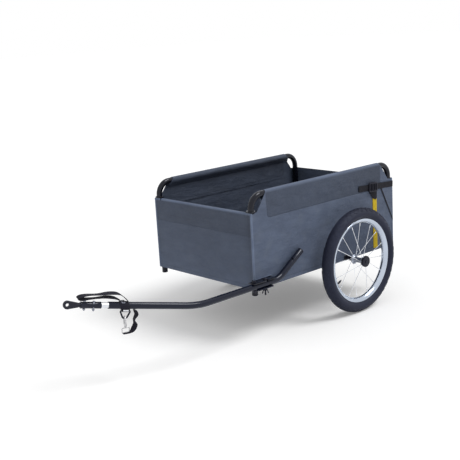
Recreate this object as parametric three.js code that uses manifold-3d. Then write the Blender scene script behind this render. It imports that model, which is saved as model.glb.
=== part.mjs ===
import * as THREE from 'three';
import { mergeVertices } from 'three/addons/utils/BufferGeometryUtils.js';
import Module from 'manifold-3d';

// Fits between pieces
const clearance = 0.3;
const overrun = 5;

// Tub
const tubWidth = 528;
const tubLength = 784;
const sideHeight = 343.5;
const endHeight = 273.5;
const cloth = 1.5;
const hemDrop = 0.5;
const shoulderReach = 28;
const sleeveTopReach = 80;
const sleeveTurnShare = 0.625;
const sleeveSides = 10;

// Tube frame
const railDiameter = 22;
const railWall = 1.5;
const railBend = 48;
const bendSteps = 5;
const tubeSides = 12;
const crossbarDiameter = 16;
const crossbarWall = 1.5;
const frontSleeveDrop = 40;
const collarWall = 4;
const collarHeight = 5;
const collarPost = 9;
const collarPostDepth = 8;
const footCap = 4;
const footPlug = 12;
const footDrop = 23.5;
const floorThickness = 6;

// Wheels
const wheelRadius = 200;
const wheelStandoff = 64;
const axleBehind = 98;
const axleDrop = 2;
const tyreWidth = 47;
const tyreWall = 3;
const beadWidth = 26;
const sidewallHeightShare = 0.333;
const sidewallBulgeShare = 0.745;
const rimRadius = 160;
const rimDepth = 17;
const rimWidth = 28;
const rimFlange = 2.5;
const rimWell = 6;
const rimFloor = 3;
const rimFlat = 9.3;
const wheelSides = 32;
const hubLength = 56;
const hubWaist = 20;
const hubFlangeDiameter = 36;
const hubFlangeWall = 3;
const hubShoulder = 6;
const hubSides = 16;
const spokeCount = 16;
const firstSpoke = 16.4;
const spokeDiameter = 2;
const spokeSides = 4;
const spokeSpread = 6;
const spokeLean = 23;
const spokeSeat = 3;
const axleDiameter = 12;
const bushWall = 2;
const socketWall = 1.5;
const socketGrip = 34;
const socketFlangeDiameter = 24;
const socketFlangeWall = 3;
const socketNose = 2;
const axleTubeDiameter = 22;
const knobDiameter = 43;
const knobDepth = 8.4;
const knobEdge = 1.5;
const knobSocket = 1.7;
const buttonDiameter = 14;
const buttonTravel = 3;
const buttonDepth = 4.7;
const buttonProud = 2.5;

// Rear panel's ears, straps and buckles
const earReach = 83;
const earTopDrop = 22;
const earSlope = 8;
const earLength = 165;
const strapThickness = 1.8;
const strapWidth = 23;
const strapReach = 210;
const strapDrop = 23.5;
const strapTilt = 3;
const strapTailReach = 114;
const strapTailLength = 41;
const buckleReach = 129;
const buckleLength = 49;
const buckleHeight = 36;
const buckleThickness = 7;
const buckleSlot = 5;
const buckleRim = 6;
const yellowWidth = 25;
const yellowReach = 126;
const yellowTop = 24;
const yellowBottom = 10;

// Drawbar and its bracket
const barDiameter = 23;
const barWall = 2;
const barRise = 8;
const barClear = 2;
const barBend = 260;
const tailBend = 92;
const barSides = 14;
const pivotAhead = 15;
const midLength = 258;
const tailStart = 119;
const tailLength = 142;
const tailPitch = 33;
const barInward = 17.4;
const barClimb = 11.2;
const frontLength = 307.5;
const capDepth = 3;
const capPlug = 12;
const bracketWall = 3;
const bracketPlate = 4;
const bracketFront = 14;
const bracketRear = 46;
const bracketOut = 16;
const bracketDepth = 26;
const bracketCut = 37;
const bracketCutLength = 88;
const pivotBoltDiameter = 8;
const boltHeadWidth = 13;
const boltHeadHeight = 5.5;
const pivotNutHeight = 9;
const lockBoltDiameter = 6;
const lockReach = 52;
const lockHeadDiameter = 16;
const lockHeadHeight = 4;
const lockHeadEdge = 2.8;
const lockHeadCrown = 12.8;
const lockBoltLength = 58;
const plateWidth = 26;
const plateThickness = 4;
const plateAhead = 43;
const plateBehind = 32;
const wingNutDiameter = 12;
const wingNutHeight = 9;
const wingSpan = 25;
const wingHeight = 16;
const wingThickness = 3;
const wingRoot = 4;
const wingDrop = 3;
const wingTurn = 47;

// Swivelling hitch, placed along the bar from its front bend
const spigotGrip = 60;
const spigotBare = 23.5;
const spigotGroove = 10;
const spigotNeck = 7.8;
const spigotHead = 4.4;
const sleeveDiameter = 22;
const sleeveLength = 67;
const rearBoltReach = 25.6;
const rearBoltSide = 6.7;
const frontBoltReach = 53.6;
const hitchBoltDiameter = 5;
const hitchHeadWidth = 8;
const hitchHeadHeight = 3.5;
const hitchNutHeight = 4;
const hitchBoltEnd = 2.5;
const shankDiameter = 14;
const shankGrip = 26;
const shankNeck = 14;
const shankBare = 6;
const eyeReach = 40.5;
const eyeDiameter = 27;
const eyeHole = 10.5;
const eyeThickness = 9;

// Safety strap
const webbing = 2;
const webWidth = 20;
const wrapLength = 36;
const wrapReach = 53.5;
const hangerLength = 22;
const hangerWall = 2;
const ringWire = 4;
const ringTop = 36;
const ringFoot = 13;
const ringHeight = 24;
const ringShift = 5;
const hookWidth = 19;
const hookLimb = 4;
const hookSlotLength = 21;
const hookThickness = 5;
const hookBase = 7;
const gateWidth = 3.4;
const gateLength = 13.5;
const stemDiameter = 6;
const stemLength = 7;
const webEyeWidth = 27;
const webEyeHeight = 17;
const webEyeWire = 3;
const loopBehind = 9;
const loopAhead = 23.5;
const loopHeight = 25.3;
const loopShares = [
  [0, 0], [0.1, 0.55], [0.22, 0.9], [0.4, 0.92], [0.6, 0.75], [0.8, 0.68], [0.94, 0.5],
  [1, 0.25], [0.93, 0.12], [0.8, 0.2], [0.62, 0.32], [0.44, 0.44], [0.28, 0.36], [0.16, 0.08],
];
const tailShift = 39;
const tailBulge = 4;
const tailShares = [[1, 0], [-1, 0.2], [0.5, 0.42], [-1, 0.62], [0.5, 0.84]];

// Places worked out from the sizes
const sidePlane = tubWidth / 2;
const endPlane = tubLength / 2;
const railRadius = railDiameter / 2;
const sheetInside = sidePlane - cloth;
const endInside = endPlane - cloth;
const legX = sheetInside - clearance - railRadius;
const legY = endInside - clearance - railRadius;
const axleZ = wheelRadius;
const axleY = axleBehind;
const railZ = axleZ + axleDrop;
const hemZ = railZ - railRadius - hemDrop;
const topRailZ = hemZ + sideHeight - cloth - clearance - railRadius;
const panelTopZ = hemZ + endHeight;
const footBottomZ = hemZ - footDrop;
const boardZ = railZ + railRadius + clearance;
const innerX = legX - railRadius - clearance;
const innerY = legY - railRadius - clearance;
const wheelX = sidePlane + wheelStandoff;
const socketBore = axleDiameter / 2 + clearance;
const socketRadius = socketBore + socketWall;
const bushRadius = axleDiameter / 2 + clearance + bushWall;
const hubBore = bushRadius + clearance;
const knobX = wheelX + hubLength / 2 + clearance * 2;
const barRadius = barDiameter / 2;
const bracketX = legX + railRadius + clearance;
const barX = bracketX + bracketWall + barClear + barRadius;
const barZ = railZ + barRise;
const pivotY = -(endPlane + pivotAhead);
const bracketZ = barZ + barRadius + clearance;
const frontBend = new THREE.Vector3(barX, pivotY - midLength, barZ);
const rearBend = new THREE.Vector3(barX, pivotY + tailStart, barZ);
const inward = THREE.MathUtils.degToRad(barInward);
const climb = THREE.MathUtils.degToRad(barClimb);
const tailAngle = THREE.MathUtils.degToRad(tailPitch);

// Joining and cutting closed meshes
const wasm = await Module();
wasm.setup();

function outward(geometry) {
  const place = geometry.attributes.position;
  const index = geometry.index;
  const count = index ? index.count : place.count;
  const corner = [new THREE.Vector3(), new THREE.Vector3(), new THREE.Vector3()];
  let volume = 0;
  for (let i = 0; i < count; i += 3) {
    for (let k = 0; k < 3; k++) corner[k].fromBufferAttribute(place, index ? index.getX(i + k) : i + k);
    volume += corner[0].dot(corner[1].cross(corner[2]));
  }
  if (volume >= 0) return geometry;
  const flipped = geometry.index ? geometry : mergeVertices(geometry);
  const order = flipped.index.array;
  for (let i = 0; i < order.length; i += 3) [order[i], order[i + 1]] = [order[i + 1], order[i]];
  flipped.index.needsUpdate = true;
  return flipped;
}

function toSolid(geometry) {
  const bare = geometry.clone();
  bare.deleteAttribute('normal');
  bare.deleteAttribute('uv');
  const merged = outward(mergeVertices(bare));
  const triangles = [];
  for (let i = 0; i < merged.index.count; i += 3) {
    const [a, b, c] = merged.index.array.slice(i, i + 3);
    if (a !== b && b !== c && c !== a) triangles.push(a, b, c);
  }
  return new wasm.Manifold(new wasm.Mesh({
    numProp: 3,
    vertProperties: new Float32Array(merged.attributes.position.array),
    triVerts: new Uint32Array(triangles),
  }));
}

function toGeometry(solid) {
  const mesh = solid.getMesh();
  const geometry = new THREE.BufferGeometry();
  geometry.setAttribute('position', new THREE.BufferAttribute(mesh.vertProperties, mesh.numProp));
  geometry.setIndex(new THREE.BufferAttribute(mesh.triVerts, 1));
  geometry.computeVertexNormals();
  return geometry;
}

function join(...pieces) {
  return toGeometry(pieces.map(toSolid).reduce((sum, piece) => sum.add(piece)));
}

function cut(body, ...tools) {
  return toGeometry(tools.map(toSolid).reduce((left, tool) => left.subtract(tool), toSolid(body)));
}

// Plain shapes
function block(x0, x1, y0, y1, z0, z1) {
  return new THREE.BoxGeometry(x1 - x0, y1 - y0, z1 - z0)
    .translate((x0 + x1) / 2, (y0 + y1) / 2, (z0 + z1) / 2);
}

function rod(radius, from, to, sides = tubeSides, endRadius = radius) {
  const way = to.clone().sub(from);
  const turn = new THREE.Quaternion().setFromUnitVectors(new THREE.Vector3(0, 1, 0), way.clone().normalize());
  return new THREE.CylinderGeometry(endRadius, radius, way.length(), sides)
    .applyQuaternion(turn)
    .translate((from.x + to.x) / 2, (from.y + to.y) / 2, (from.z + to.z) / 2);
}

function at(x, y, z) {
  return new THREE.Vector3(x, y, z);
}

// A turned piece: pairs of radius and place along the axis, closed on the axis or on themselves
function turned(profile, sides) {
  return new THREE.LatheGeometry(profile.map(([radius, along]) => new THREE.Vector2(radius, along)), sides);
}

function alongX(geometry) {
  return geometry.rotateZ(-Math.PI / 2);
}

function alongZ(geometry) {
  return geometry.rotateX(Math.PI / 2);
}

function sleeve(inner, outer, from, to, sides) {
  return turned([[inner, from], [outer, from], [outer, to], [inner, to], [inner, from]], sides);
}

function outline(points) {
  const corners = points.map(([x, y]) => new THREE.Vector2(x, y));
  return new THREE.Shape(THREE.ShapeUtils.isClockWise(corners) ? corners.reverse() : corners);
}

function slab(shape, thickness, curveSegments = 6) {
  return new THREE.ExtrudeGeometry(shape, { depth: thickness, bevelEnabled: false, curveSegments });
}

// A drawing in the plane of y and z, given its thickness along x from x0
function slabAcross(shape, x0, x1, curveSegments) {
  return slab(shape, x1 - x0, curveSegments)
    .applyMatrix4(new THREE.Matrix4().makeBasis(at(0, 1, 0), at(0, 0, 1), at(1, 0, 0)))
    .translate(x0, 0, 0);
}

// A drawing in the plane of x and z, given its thickness along y from y0
function slabAlong(shape, y0, y1, curveSegments) {
  return slab(shape, y1 - y0, curveSegments)
    .applyMatrix4(new THREE.Matrix4().makeBasis(at(1, 0, 0), at(0, 0, 1), at(0, -1, 0)))
    .translate(0, y1, 0);
}

// A path of straight runs and round bends, with its steps only where it turns
class BentPath extends THREE.Curve {
  constructor(corners, bends) {
    super();
    this.stations = [corners[0]];
    for (let i = 1; i < corners.length - 1; i++) {
      const into = corners[i].clone().sub(corners[i - 1]).normalize();
      const out = corners[i + 1].clone().sub(corners[i]).normalize();
      const turn = into.angleTo(out);
      const radius = bends[i - 1];
      const axis = into.clone().cross(out).normalize();
      const start = corners[i].clone().addScaledVector(into, -radius * Math.tan(turn / 2));
      const middle = start.clone().addScaledVector(axis.clone().cross(into), radius);
      for (let k = 0; k <= bendSteps; k++) {
        this.stations.push(start.clone().sub(middle).applyAxisAngle(axis, turn * k / bendSteps).add(middle));
      }
    }
    this.stations.push(corners[corners.length - 1]);
    this.steps = this.stations.length - 1;
  }

  getPoint(share) {
    const place = share * this.steps;
    const before = Math.min(Math.floor(place), this.steps - 1);
    return this.stations[before].clone().lerp(this.stations[before + 1], place - before);
  }

  getPointAt(share) {
    return this.getPoint(share);
  }

  getTangentAt(share) {
    const here = Math.round(share * this.steps);
    const last = this.stations[Math.max(here - 1, 0)];
    const next = this.stations[Math.min(here + 1, this.steps)];
    return next.clone().sub(last).normalize();
  }
}

function bentTube(corners, bends, diameter, wall, sides) {
  const path = new BentPath(corners, bends);
  const section = new THREE.Shape().absarc(0, 0, diameter / 2, 0, Math.PI * 2);
  if (wall < diameter / 2) {
    section.holes.push(new THREE.Path().absarc(0, 0, diameter / 2 - wall, 0, Math.PI * 2, true));
  }
  return new THREE.ExtrudeGeometry(section, {
    steps: path.steps,
    extrudePath: path,
    curveSegments: sides / 2,
    bevelEnabled: false,
  });
}

function straightTube(from, to, diameter, wall, sides = tubeSides) {
  return bentTube([from, to], [], diameter, wall, sides);
}

function mirrored(geometry) {
  return geometry.clone().applyMatrix4(new THREE.Matrix4().makeScale(-1, 1, 1));
}

// Finishes
function finish(color, roughness, metalness) {
  return new THREE.MeshStandardMaterial({ color, roughness, metalness });
}

const blackPaint = finish(0x16171b, 0.3, 0.5);
const blackPlastic = finish(0x141417, 0.5, 0);
const greyCloth = finish(0x545b66, 0.75, 0);
const boardBrown = finish(0x3a3632, 0.7, 0);
const yellowWeb = finish(0xd8b51f, 0.8, 0);
const blackWeb = finish(0x18181c, 0.85, 0);
const tyreRubber = finish(0x1d1e22, 0.8, 0);
const rimMetal = finish(0xc9ccd1, 0.25, 0.9);
const plated = finish(0xb9bdc2, 0.3, 0.9);
const nylon = finish(0xe2ded2, 0.6, 0);

const trailer = new THREE.Group();

function add(name, geometry, material, group = trailer) {
  const mesh = new THREE.Mesh(outward(geometry), material);
  mesh.name = name;
  group.add(mesh);
}

function addPair(name, geometry, material) {
  add(`left_${name}`, geometry, material);
  add(`right_${name}`, mirrored(geometry), material);
}

// Side frames: a tube bent to an upturned U on each side, its legs closed by plugs that are its feet
function sideFrame(diameter, wall) {
  const legEnd = footBottomZ + footCap + clearance;
  return bentTube([
    at(legX, -legY, legEnd),
    at(legX, -legY, topRailZ),
    at(legX, legY, topRailZ),
    at(legX, legY, legEnd),
  ], [railBend, railBend], diameter, wall, tubeSides);
}

addPair('side_frame', sideFrame(railDiameter, railWall), blackPaint);

function foot(y) {
  const plug = (railRadius - railWall) * Math.cos(Math.PI / tubeSides) - clearance;
  const top = footCap + footPlug;
  return alongZ(turned([
    [0, 0], [railRadius, 0], [railRadius, footCap], [plug, footCap], [plug, top], [0, top],
  ], hubSides)).translate(legX, y, footBottomZ);
}

addPair('front_foot', foot(-legY), blackPlastic);
addPair('rear_foot', foot(legY), blackPlastic);

// Floor frame: two bottom rails drilled for the axle sockets, two cross tubes and the axle tube
function bottomRail() {
  const drill = rod(socketRadius + clearance, at(legX - railRadius - overrun, axleY, axleZ),
    at(legX + railRadius + overrun, axleY, axleZ));
  return cut(straightTube(at(legX, -innerY, railZ), at(legX, innerY, railZ), railDiameter, railWall), drill);
}

addPair('bottom_rail', bottomRail(), blackPaint);

function crossTube(y) {
  return straightTube(at(-innerX, y, railZ), at(innerX, y, railZ), railDiameter, railWall);
}

add('front_cross_tube', crossTube(-legY), blackPaint);
add('rear_cross_tube', crossTube(legY), blackPaint);
add('axle_tube', straightTube(at(-innerX, axleY, axleZ), at(innerX, axleY, axleZ), axleTubeDiameter,
  axleTubeDiameter / 2 - socketRadius - clearance), blackPaint);

// Floor board on the rails and cross tubes, notched round the legs
function floorBoard() {
  const wide = sheetInside - clearance;
  const long = endInside - clearance;
  const board = outline([
    [-innerX, -long], [innerX, -long], [innerX, -innerY], [wide, -innerY], [wide, innerY], [innerX, innerY],
    [innerX, long], [-innerX, long], [-innerX, innerY], [-wide, innerY], [-wide, -innerY], [-innerX, -innerY],
  ]);
  return slab(board, floorThickness).translate(0, 0, boardZ);
}

add('floor_board', floorBoard(), boardBrown);

// A sheet whose top is sewn round a tube: the hook seen from its end, with u outward and v up
function hookedSheet(outer, tubeU, tubeV, tubeRadius, bottom) {
  const inner = outer - cloth;
  const near = tubeRadius + clearance;
  const far = near + cloth;
  const turn = Math.PI * 2 * sleeveTurnShare;
  const sheet = [[outer, bottom], [outer, tubeV]];
  const tunnel = [];
  for (let k = 0; k <= sleeveSides; k++) {
    const angle = turn * k / sleeveSides;
    sheet.push([tubeU + far * Math.cos(angle), tubeV + far * Math.sin(angle)]);
    tunnel.push([tubeU + near * Math.cos(angle), tubeV + near * Math.sin(angle)]);
  }
  const lean = Math.tan(turn - Math.PI);
  for (const row of [sheet, tunnel]) {
    const [u, v] = row[row.length - 1];
    row.push([inner, v - (inner - u) * lean]);
  }
  sheet.push([inner, bottom]);
  const shape = outline(sheet);
  shape.holes.push(outline(tunnel));
  return shape;
}

// Side panels: sewn round the top rail, cut on a slant at both ends and notched for the axle socket
function sidePanel() {
  const end = endInside - clearance;
  const sheet = slabAlong(hookedSheet(sidePlane, legX, topRailZ, railRadius, hemZ), -end, end);
  const slant = (way) => slabAcross(outline([
    [way * (end + overrun), panelTopZ],
    [way * (endPlane - shoulderReach), panelTopZ],
    [way * (endPlane - sleeveTopReach), hemZ + sideHeight + overrun],
    [way * (end + overrun), hemZ + sideHeight + overrun],
  ]), innerX - overrun * 2, sidePlane + overrun);
  const axleHole = rod(socketRadius + clearance, at(innerX, axleY, axleZ),
    at(sidePlane + overrun, axleY, axleZ));
  const frameClear = sideFrame(railDiameter + clearance * 2, railDiameter);
  return cut(sheet, slant(-1), slant(1), axleHole, frameClear);
}

const panel = sidePanel();
const bracketNotch = block(innerX, sidePlane + overrun, -endPlane - overrun, -endPlane + bracketCutLength,
  hemZ - overrun, hemZ + bracketCut);
add('left_side_panel', cut(panel, bracketNotch), greyCloth);
add('right_side_panel', mirrored(panel), greyCloth);

// Front panel, sewn round the crossbar between the legs
const crossbarRadius = crossbarDiameter / 2;
const crossbarY = endInside - clearance - crossbarRadius;
const crossbarZ = panelTopZ - cloth - clearance - crossbarRadius;
const hookHalf = innerX - collarPost - clearance;

function frontPanel() {
  const sheet = block(-sidePlane, sidePlane, -endPlane, -endInside, hemZ, panelTopZ);
  const hook = hookedSheet(endPlane, crossbarY, crossbarZ, crossbarRadius, panelTopZ - frontSleeveDrop);
  const sewn = slab(hook, hookHalf * 2)
    .applyMatrix4(new THREE.Matrix4().makeBasis(at(0, -1, 0), at(0, 0, 1), at(-1, 0, 0)))
    .translate(hookHalf, 0, 0);
  return join(sheet, sewn);
}

add('front_panel', frontPanel(), greyCloth);

// Front crossbar with a collar round each leg
function frontCrossbar() {
  const bar = straightTube(at(-innerX, -crossbarY, crossbarZ), at(innerX, -crossbarY, crossbarZ),
    crossbarDiameter, crossbarWall);
  const bore = railRadius + clearance;
  const collarZ = panelTopZ + clearance;
  const parts = [bar];
  for (const way of [-1, 1]) {
    parts.push(alongZ(sleeve(bore, bore + collarWall, collarZ, collarZ + collarHeight, hubSides))
      .translate(way * legX, -legY, 0));
    const near = way * (innerX - collarPost);
    const far = way * innerX;
    parts.push(block(Math.min(near, far), Math.max(near, far), -legY - collarPostDepth / 2,
      -legY + collarPostDepth / 2, crossbarZ, collarZ + collarHeight));
  }
  return join(...parts);
}

add('front_crossbar', frontCrossbar(), blackPaint);

// Axle sockets: a flange on the side panel, a sleeve through the rail and a nose out to the hub
function axleSocket() {
  const flangeX = sidePlane + clearance;
  const noseEnd = wheelX - hubLength / 2 - clearance * 2;
  const flange = socketFlangeDiameter / 2;
  const nose = socketRadius + socketNose - socketWall;
  const inner = innerX - socketGrip + railDiameter;
  return alongX(turned([
    [socketBore, inner], [socketRadius, inner], [socketRadius, flangeX], [flange, flangeX],
    [flange, flangeX + socketFlangeWall], [nose, flangeX + socketFlangeWall], [nose, noseEnd],
    [socketBore, noseEnd], [socketBore, inner],
  ], hubSides)).translate(0, axleY, axleZ);
}

addPair('axle_socket', axleSocket(), blackPaint);

// Quick-release axle pins, their knobs and push buttons
const knobFloor = knobX + knobDepth - buttonTravel - buttonDepth + buttonProud - clearance;
const knobFace = knobX + knobDepth;

function axlePin() {
  return rod(axleDiameter / 2, at(innerX - socketGrip / 2, axleY, axleZ),
    at(knobX + knobSocket - clearance, axleY, axleZ), hubSides);
}

function axleKnob() {
  const outer = knobDiameter / 2;
  const recess = buttonDiameter / 2 + clearance;
  return alongX(turned([
    [socketBore, knobX], [outer, knobX], [outer, knobFace - knobEdge], [outer - knobEdge, knobFace],
    [recess, knobFace], [recess, knobFloor], [0, knobFloor], [0, knobX + knobSocket],
    [socketBore, knobX + knobSocket], [socketBore, knobX],
  ], hubSides)).translate(0, axleY, axleZ);
}

function releaseButton() {
  const face = knobFace + buttonProud;
  return rod(buttonDiameter / 2, at(face - buttonDepth, axleY, axleZ), at(face, axleY, axleZ), hubSides);
}

addPair('axle_pin', axlePin(), plated);
addPair('axle_knob', axleKnob(), blackPlastic);
addPair('release_button', releaseButton(), blackPlastic);

// Tyres: a tread arc over the section's middle and two sidewalls drawn in to the beads
function tyre() {
  const half = tyreWidth / 2;
  const middle = wheelRadius - half;
  const seat = rimRadius + clearance;
  const bulgeAt = seat + (middle - seat) * sidewallHeightShare;
  const outlinePoints = (inset, steps) => {
    const bead = beadWidth / 2 - inset;
    const side = half - inset;
    const bulge = bead + (side - bead) * sidewallBulgeShare;
    const points = [[seat, -bead], [bulgeAt, -bulge]];
    for (let k = 0; k <= steps; k++) {
      const angle = Math.PI * k / steps;
      points.push([middle + side * Math.sin(angle), -side * Math.cos(angle)]);
    }
    points.push([bulgeAt, bulge], [seat, bead]);
    return points;
  };
  const outside = outlinePoints(0, 6);
  const inside = outlinePoints(tyreWall, 3).reverse();
  return alongX(turned([...outside, ...inside, outside[0]], wheelSides)).translate(wheelX, axleY, axleZ);
}

addPair('tyre', tyre(), tyreRubber);

// Rims: a rolled channel with upright flanges
function rim() {
  const half = rimWidth / 2;
  const well = rimRadius - rimWell;
  const inner = rimRadius - rimDepth;
  const flat = rimFlat / 2;
  return alongX(turned([
    [rimRadius, -half], [rimRadius, -half + rimFlange], [well, -half + rimFlange], [inner + rimFloor, -flat],
    [inner + rimFloor, flat], [well, half - rimFlange], [rimRadius, half - rimFlange], [rimRadius, half],
    [well, half], [inner, flat], [inner, -flat], [well, -half], [rimRadius, -half],
  ], wheelSides)).translate(wheelX, axleY, axleZ);
}

addPair('rim', rim(), rimMetal);

// Hubs with their spokes, which go to each flange in turn and lean one way from each
function spokedHub() {
  const half = hubLength / 2;
  const waist = hubWaist / 2;
  const flange = hubFlangeDiameter / 2;
  const flangeAt = half - hubShoulder;
  const flangeOut = flangeAt + hubFlangeWall / 2;
  const flangeIn = flangeAt - hubFlangeWall / 2;
  const flangeFoot = flangeAt - hubFlangeWall;
  const shell = turned([
    [hubBore, -half], [waist, -half], [waist, -flangeOut], [flange, -flangeOut], [flange, -flangeIn],
    [waist, -flangeFoot], [waist, flangeFoot], [flange, flangeIn], [flange, flangeOut], [waist, flangeOut],
    [waist, half], [hubBore, half], [hubBore, -half],
  ], hubSides);
  const parts = [alongX(shell)];
  const reach = (rimRadius - rimDepth) * Math.cos(Math.PI / wheelSides) - clearance * 2;
  const root = flange - spokeSeat;
  for (let k = 0; k < spokeCount; k++) {
    const side = k % 2 ? -1 : 1;
    const lean = side * THREE.MathUtils.degToRad(spokeLean);
    const angle = THREE.MathUtils.degToRad(firstSpoke) + Math.PI * 2 * k / spokeCount;
    const from = at(side * flangeAt, root * Math.cos(angle + lean), root * Math.sin(angle + lean));
    const to = at(side * spokeSpread / 2, reach * Math.cos(angle), reach * Math.sin(angle));
    parts.push(rod(spokeDiameter / 2, from, to, spokeSides));
  }
  return join(...parts).translate(wheelX, axleY, axleZ);
}

function hubBush() {
  const half = hubLength / 2;
  return alongX(sleeve(axleDiameter / 2 + clearance, bushRadius, -half, half, hubSides))
    .translate(wheelX, axleY, axleZ);
}

addPair('spoked_hub', spokedHub(), plated);
addPair('hub_bush', hubBush(), nylon);

// Rear panel that drops, with an ear, a strap and a buckle at each side
add('rear_panel', block(-sidePlane, sidePlane, endInside, endPlane, hemZ, panelTopZ), greyCloth);

const earX = sidePlane + clearance;
const strapX = earX + cloth + clearance;
const strapRearZ = panelTopZ - strapDrop;

function ear() {
  const top = panelTopZ - earTopDrop + strapWidth / 2;
  return slabAcross(outline([
    [endPlane, top], [endPlane - earReach, top - earSlope], [endPlane, top - earLength],
  ]), earX, earX + cloth);
}

// Turned about the middle of the strap's rear end, so that the strap rises to the front
function tilted(geometry) {
  return geometry.rotateX(-THREE.MathUtils.degToRad(strapTilt))
    .translate(0, endPlane - clearance, strapRearZ);
}

function rearStrap() {
  const half = strapWidth / 2;
  const band = tilted(block(strapX, strapX + strapThickness, -strapReach, 0, -half, half));
  const tail = block(strapX, strapX + strapThickness, -half, half, -strapTailLength, 0)
    .translate(0, endPlane - strapTailReach, strapRearZ);
  return join(band, tail);
}

function buckle() {
  const x0 = strapX + strapThickness + clearance;
  const y0 = -buckleReach - buckleLength / 2;
  const y1 = -buckleReach + buckleLength / 2;
  const half = buckleHeight / 2;
  const slot = (y) => block(x0 - overrun, x0 + buckleThickness + overrun, y, y + buckleSlot, buckleRim - half,
    half - buckleRim);
  return tilted(cut(block(x0, x0 + buckleThickness, y0, y1, -half, half), slot(y0 + buckleRim),
    slot(y1 - buckleRim - buckleSlot)));
}

addPair('ear', ear(), greyCloth);
addPair('rear_strap', rearStrap(), blackWeb);
addPair('buckle', buckle(), blackPlastic);

// Yellow straps up the side panels
function yellowStrap() {
  const front = endPlane - yellowReach;
  return block(earX, earX + cloth, front, front + yellowWidth, hemZ + yellowBottom, panelTopZ - yellowTop);
}

addPair('yellow_strap', yellowStrap(), yellowWeb);

// Drawbar bracket: an angle on the bottom rail, drilled for the pivot and notched for the lock bolt
function hitchBracket() {
  const front = pivotY - bracketFront;
  const rear = pivotY + lockReach + bracketRear - lockBoltDiameter;
  const step = -endInside + clearance * 2;
  const out = barX + bracketOut;
  const plateIn = sidePlane + clearance * 2;
  const plate = slab(outline([
    [plateIn, front], [out, front], [out, rear], [bracketX, rear], [bracketX, step], [plateIn, step],
  ]), bracketPlate).translate(0, 0, bracketZ);
  const web = block(bracketX, bracketX + bracketWall, step, rear, bracketZ + bracketPlate - bracketDepth,
    bracketZ + bracketPlate);
  const pivotHole = rod(pivotBoltDiameter / 2 + clearance, at(barX, pivotY, bracketZ - overrun),
    at(barX, pivotY, bracketZ + bracketPlate + overrun));
  const slotHalf = lockBoltDiameter / 2 + clearance;
  const slotTurn = Math.asin((bracketOut + overrun) / lockReach);
  const slot = new THREE.Shape();
  slot.absarc(0, 0, lockReach + slotHalf, Math.PI / 2 - slotTurn, Math.PI / 2, false);
  slot.absarc(0, lockReach, slotHalf, Math.PI / 2, Math.PI * 3 / 2, false);
  slot.absarc(0, 0, lockReach - slotHalf, Math.PI / 2, Math.PI / 2 - slotTurn, true);
  const notch = slab(slot, bracketPlate + overrun * 2, 8).translate(barX, pivotY, bracketZ - overrun);
  return cut(join(plate, web), pivotHole, notch);
}

add('hitch_bracket', hitchBracket(), blackPaint);

function hexagon(width, height) {
  return alongZ(new THREE.CylinderGeometry(width / Math.sqrt(3), width / Math.sqrt(3), height, 6)
    .translate(0, height / 2, 0));
}

function pivotBolt() {
  const headZ = bracketZ + bracketPlate + clearance;
  const nutZ = barZ - barRadius - clearance - pivotNutHeight;
  const shank = rod(pivotBoltDiameter / 2, at(0, 0, nutZ - hitchBoltEnd),
    at(0, 0, headZ + boltHeadHeight / 2));
  return join(shank, hexagon(boltHeadWidth, boltHeadHeight).translate(0, 0, headZ),
    hexagon(boltHeadWidth, pivotNutHeight).translate(0, 0, nutZ)).translate(barX, pivotY, 0);
}

add('pivot_bolt', pivotBolt(), blackPaint);

// Drawbar: one tube from its upturned tail to the spigot, drilled for both bolts
const heading = at(-Math.sin(inward) * Math.cos(climb), -Math.cos(inward) * Math.cos(climb), Math.sin(climb));
const tailWay = at(0, Math.cos(tailAngle), Math.sin(tailAngle));
const tailTip = rearBend.clone().addScaledVector(tailWay, tailLength);
const lockY = pivotY + lockReach;

function drawbar() {
  const tube = bentTube([
    tailTip,
    rearBend,
    frontBend,
    frontBend.clone().addScaledVector(heading, frontLength),
  ], [tailBend, barBend], barDiameter, barWall, barSides);
  const drill = (y, diameter) => rod(diameter / 2 + clearance, at(barX, y, barZ - barDiameter),
    at(barX, y, barZ + barDiameter));
  return cut(tube, drill(pivotY, pivotBoltDiameter), drill(lockY, lockBoltDiameter));
}

add('drawbar', drawbar(), blackPaint);

function drawbarCap() {
  const plug = barRadius - barWall - clearance;
  const end = (along) => tailTip.clone().addScaledVector(tailWay, along);
  return join(rod(plug, end(-capPlug), end(clearance + capDepth / 2), barSides),
    rod(barRadius, end(clearance), end(clearance + capDepth), barSides));
}

add('drawbar_cap', drawbarCap(), blackPlastic);

function clampPlate() {
  const top = barZ - barRadius - clearance;
  const hole = rod(lockBoltDiameter / 2 + clearance, at(barX, lockY, top - plateThickness - overrun),
    at(barX, lockY, top + overrun));
  return cut(block(barX - plateWidth / 2, barX + plateWidth / 2, lockY - plateAhead, lockY + plateBehind,
    top - plateThickness, top), hole);
}

add('clamp_plate', clampPlate(), blackPaint);

function lockBolt() {
  const seat = bracketZ + bracketPlate + clearance;
  return alongZ(turned([
    [0, seat - lockBoltLength], [lockBoltDiameter / 2, seat - lockBoltLength], [lockBoltDiameter / 2, seat],
    [lockHeadDiameter / 2, seat], [lockHeadCrown / 2, seat + lockHeadEdge], [0, seat + lockHeadHeight],
  ], tubeSides)).translate(barX, lockY, 0);
}

add('lock_bolt', lockBolt(), blackPaint);

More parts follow.
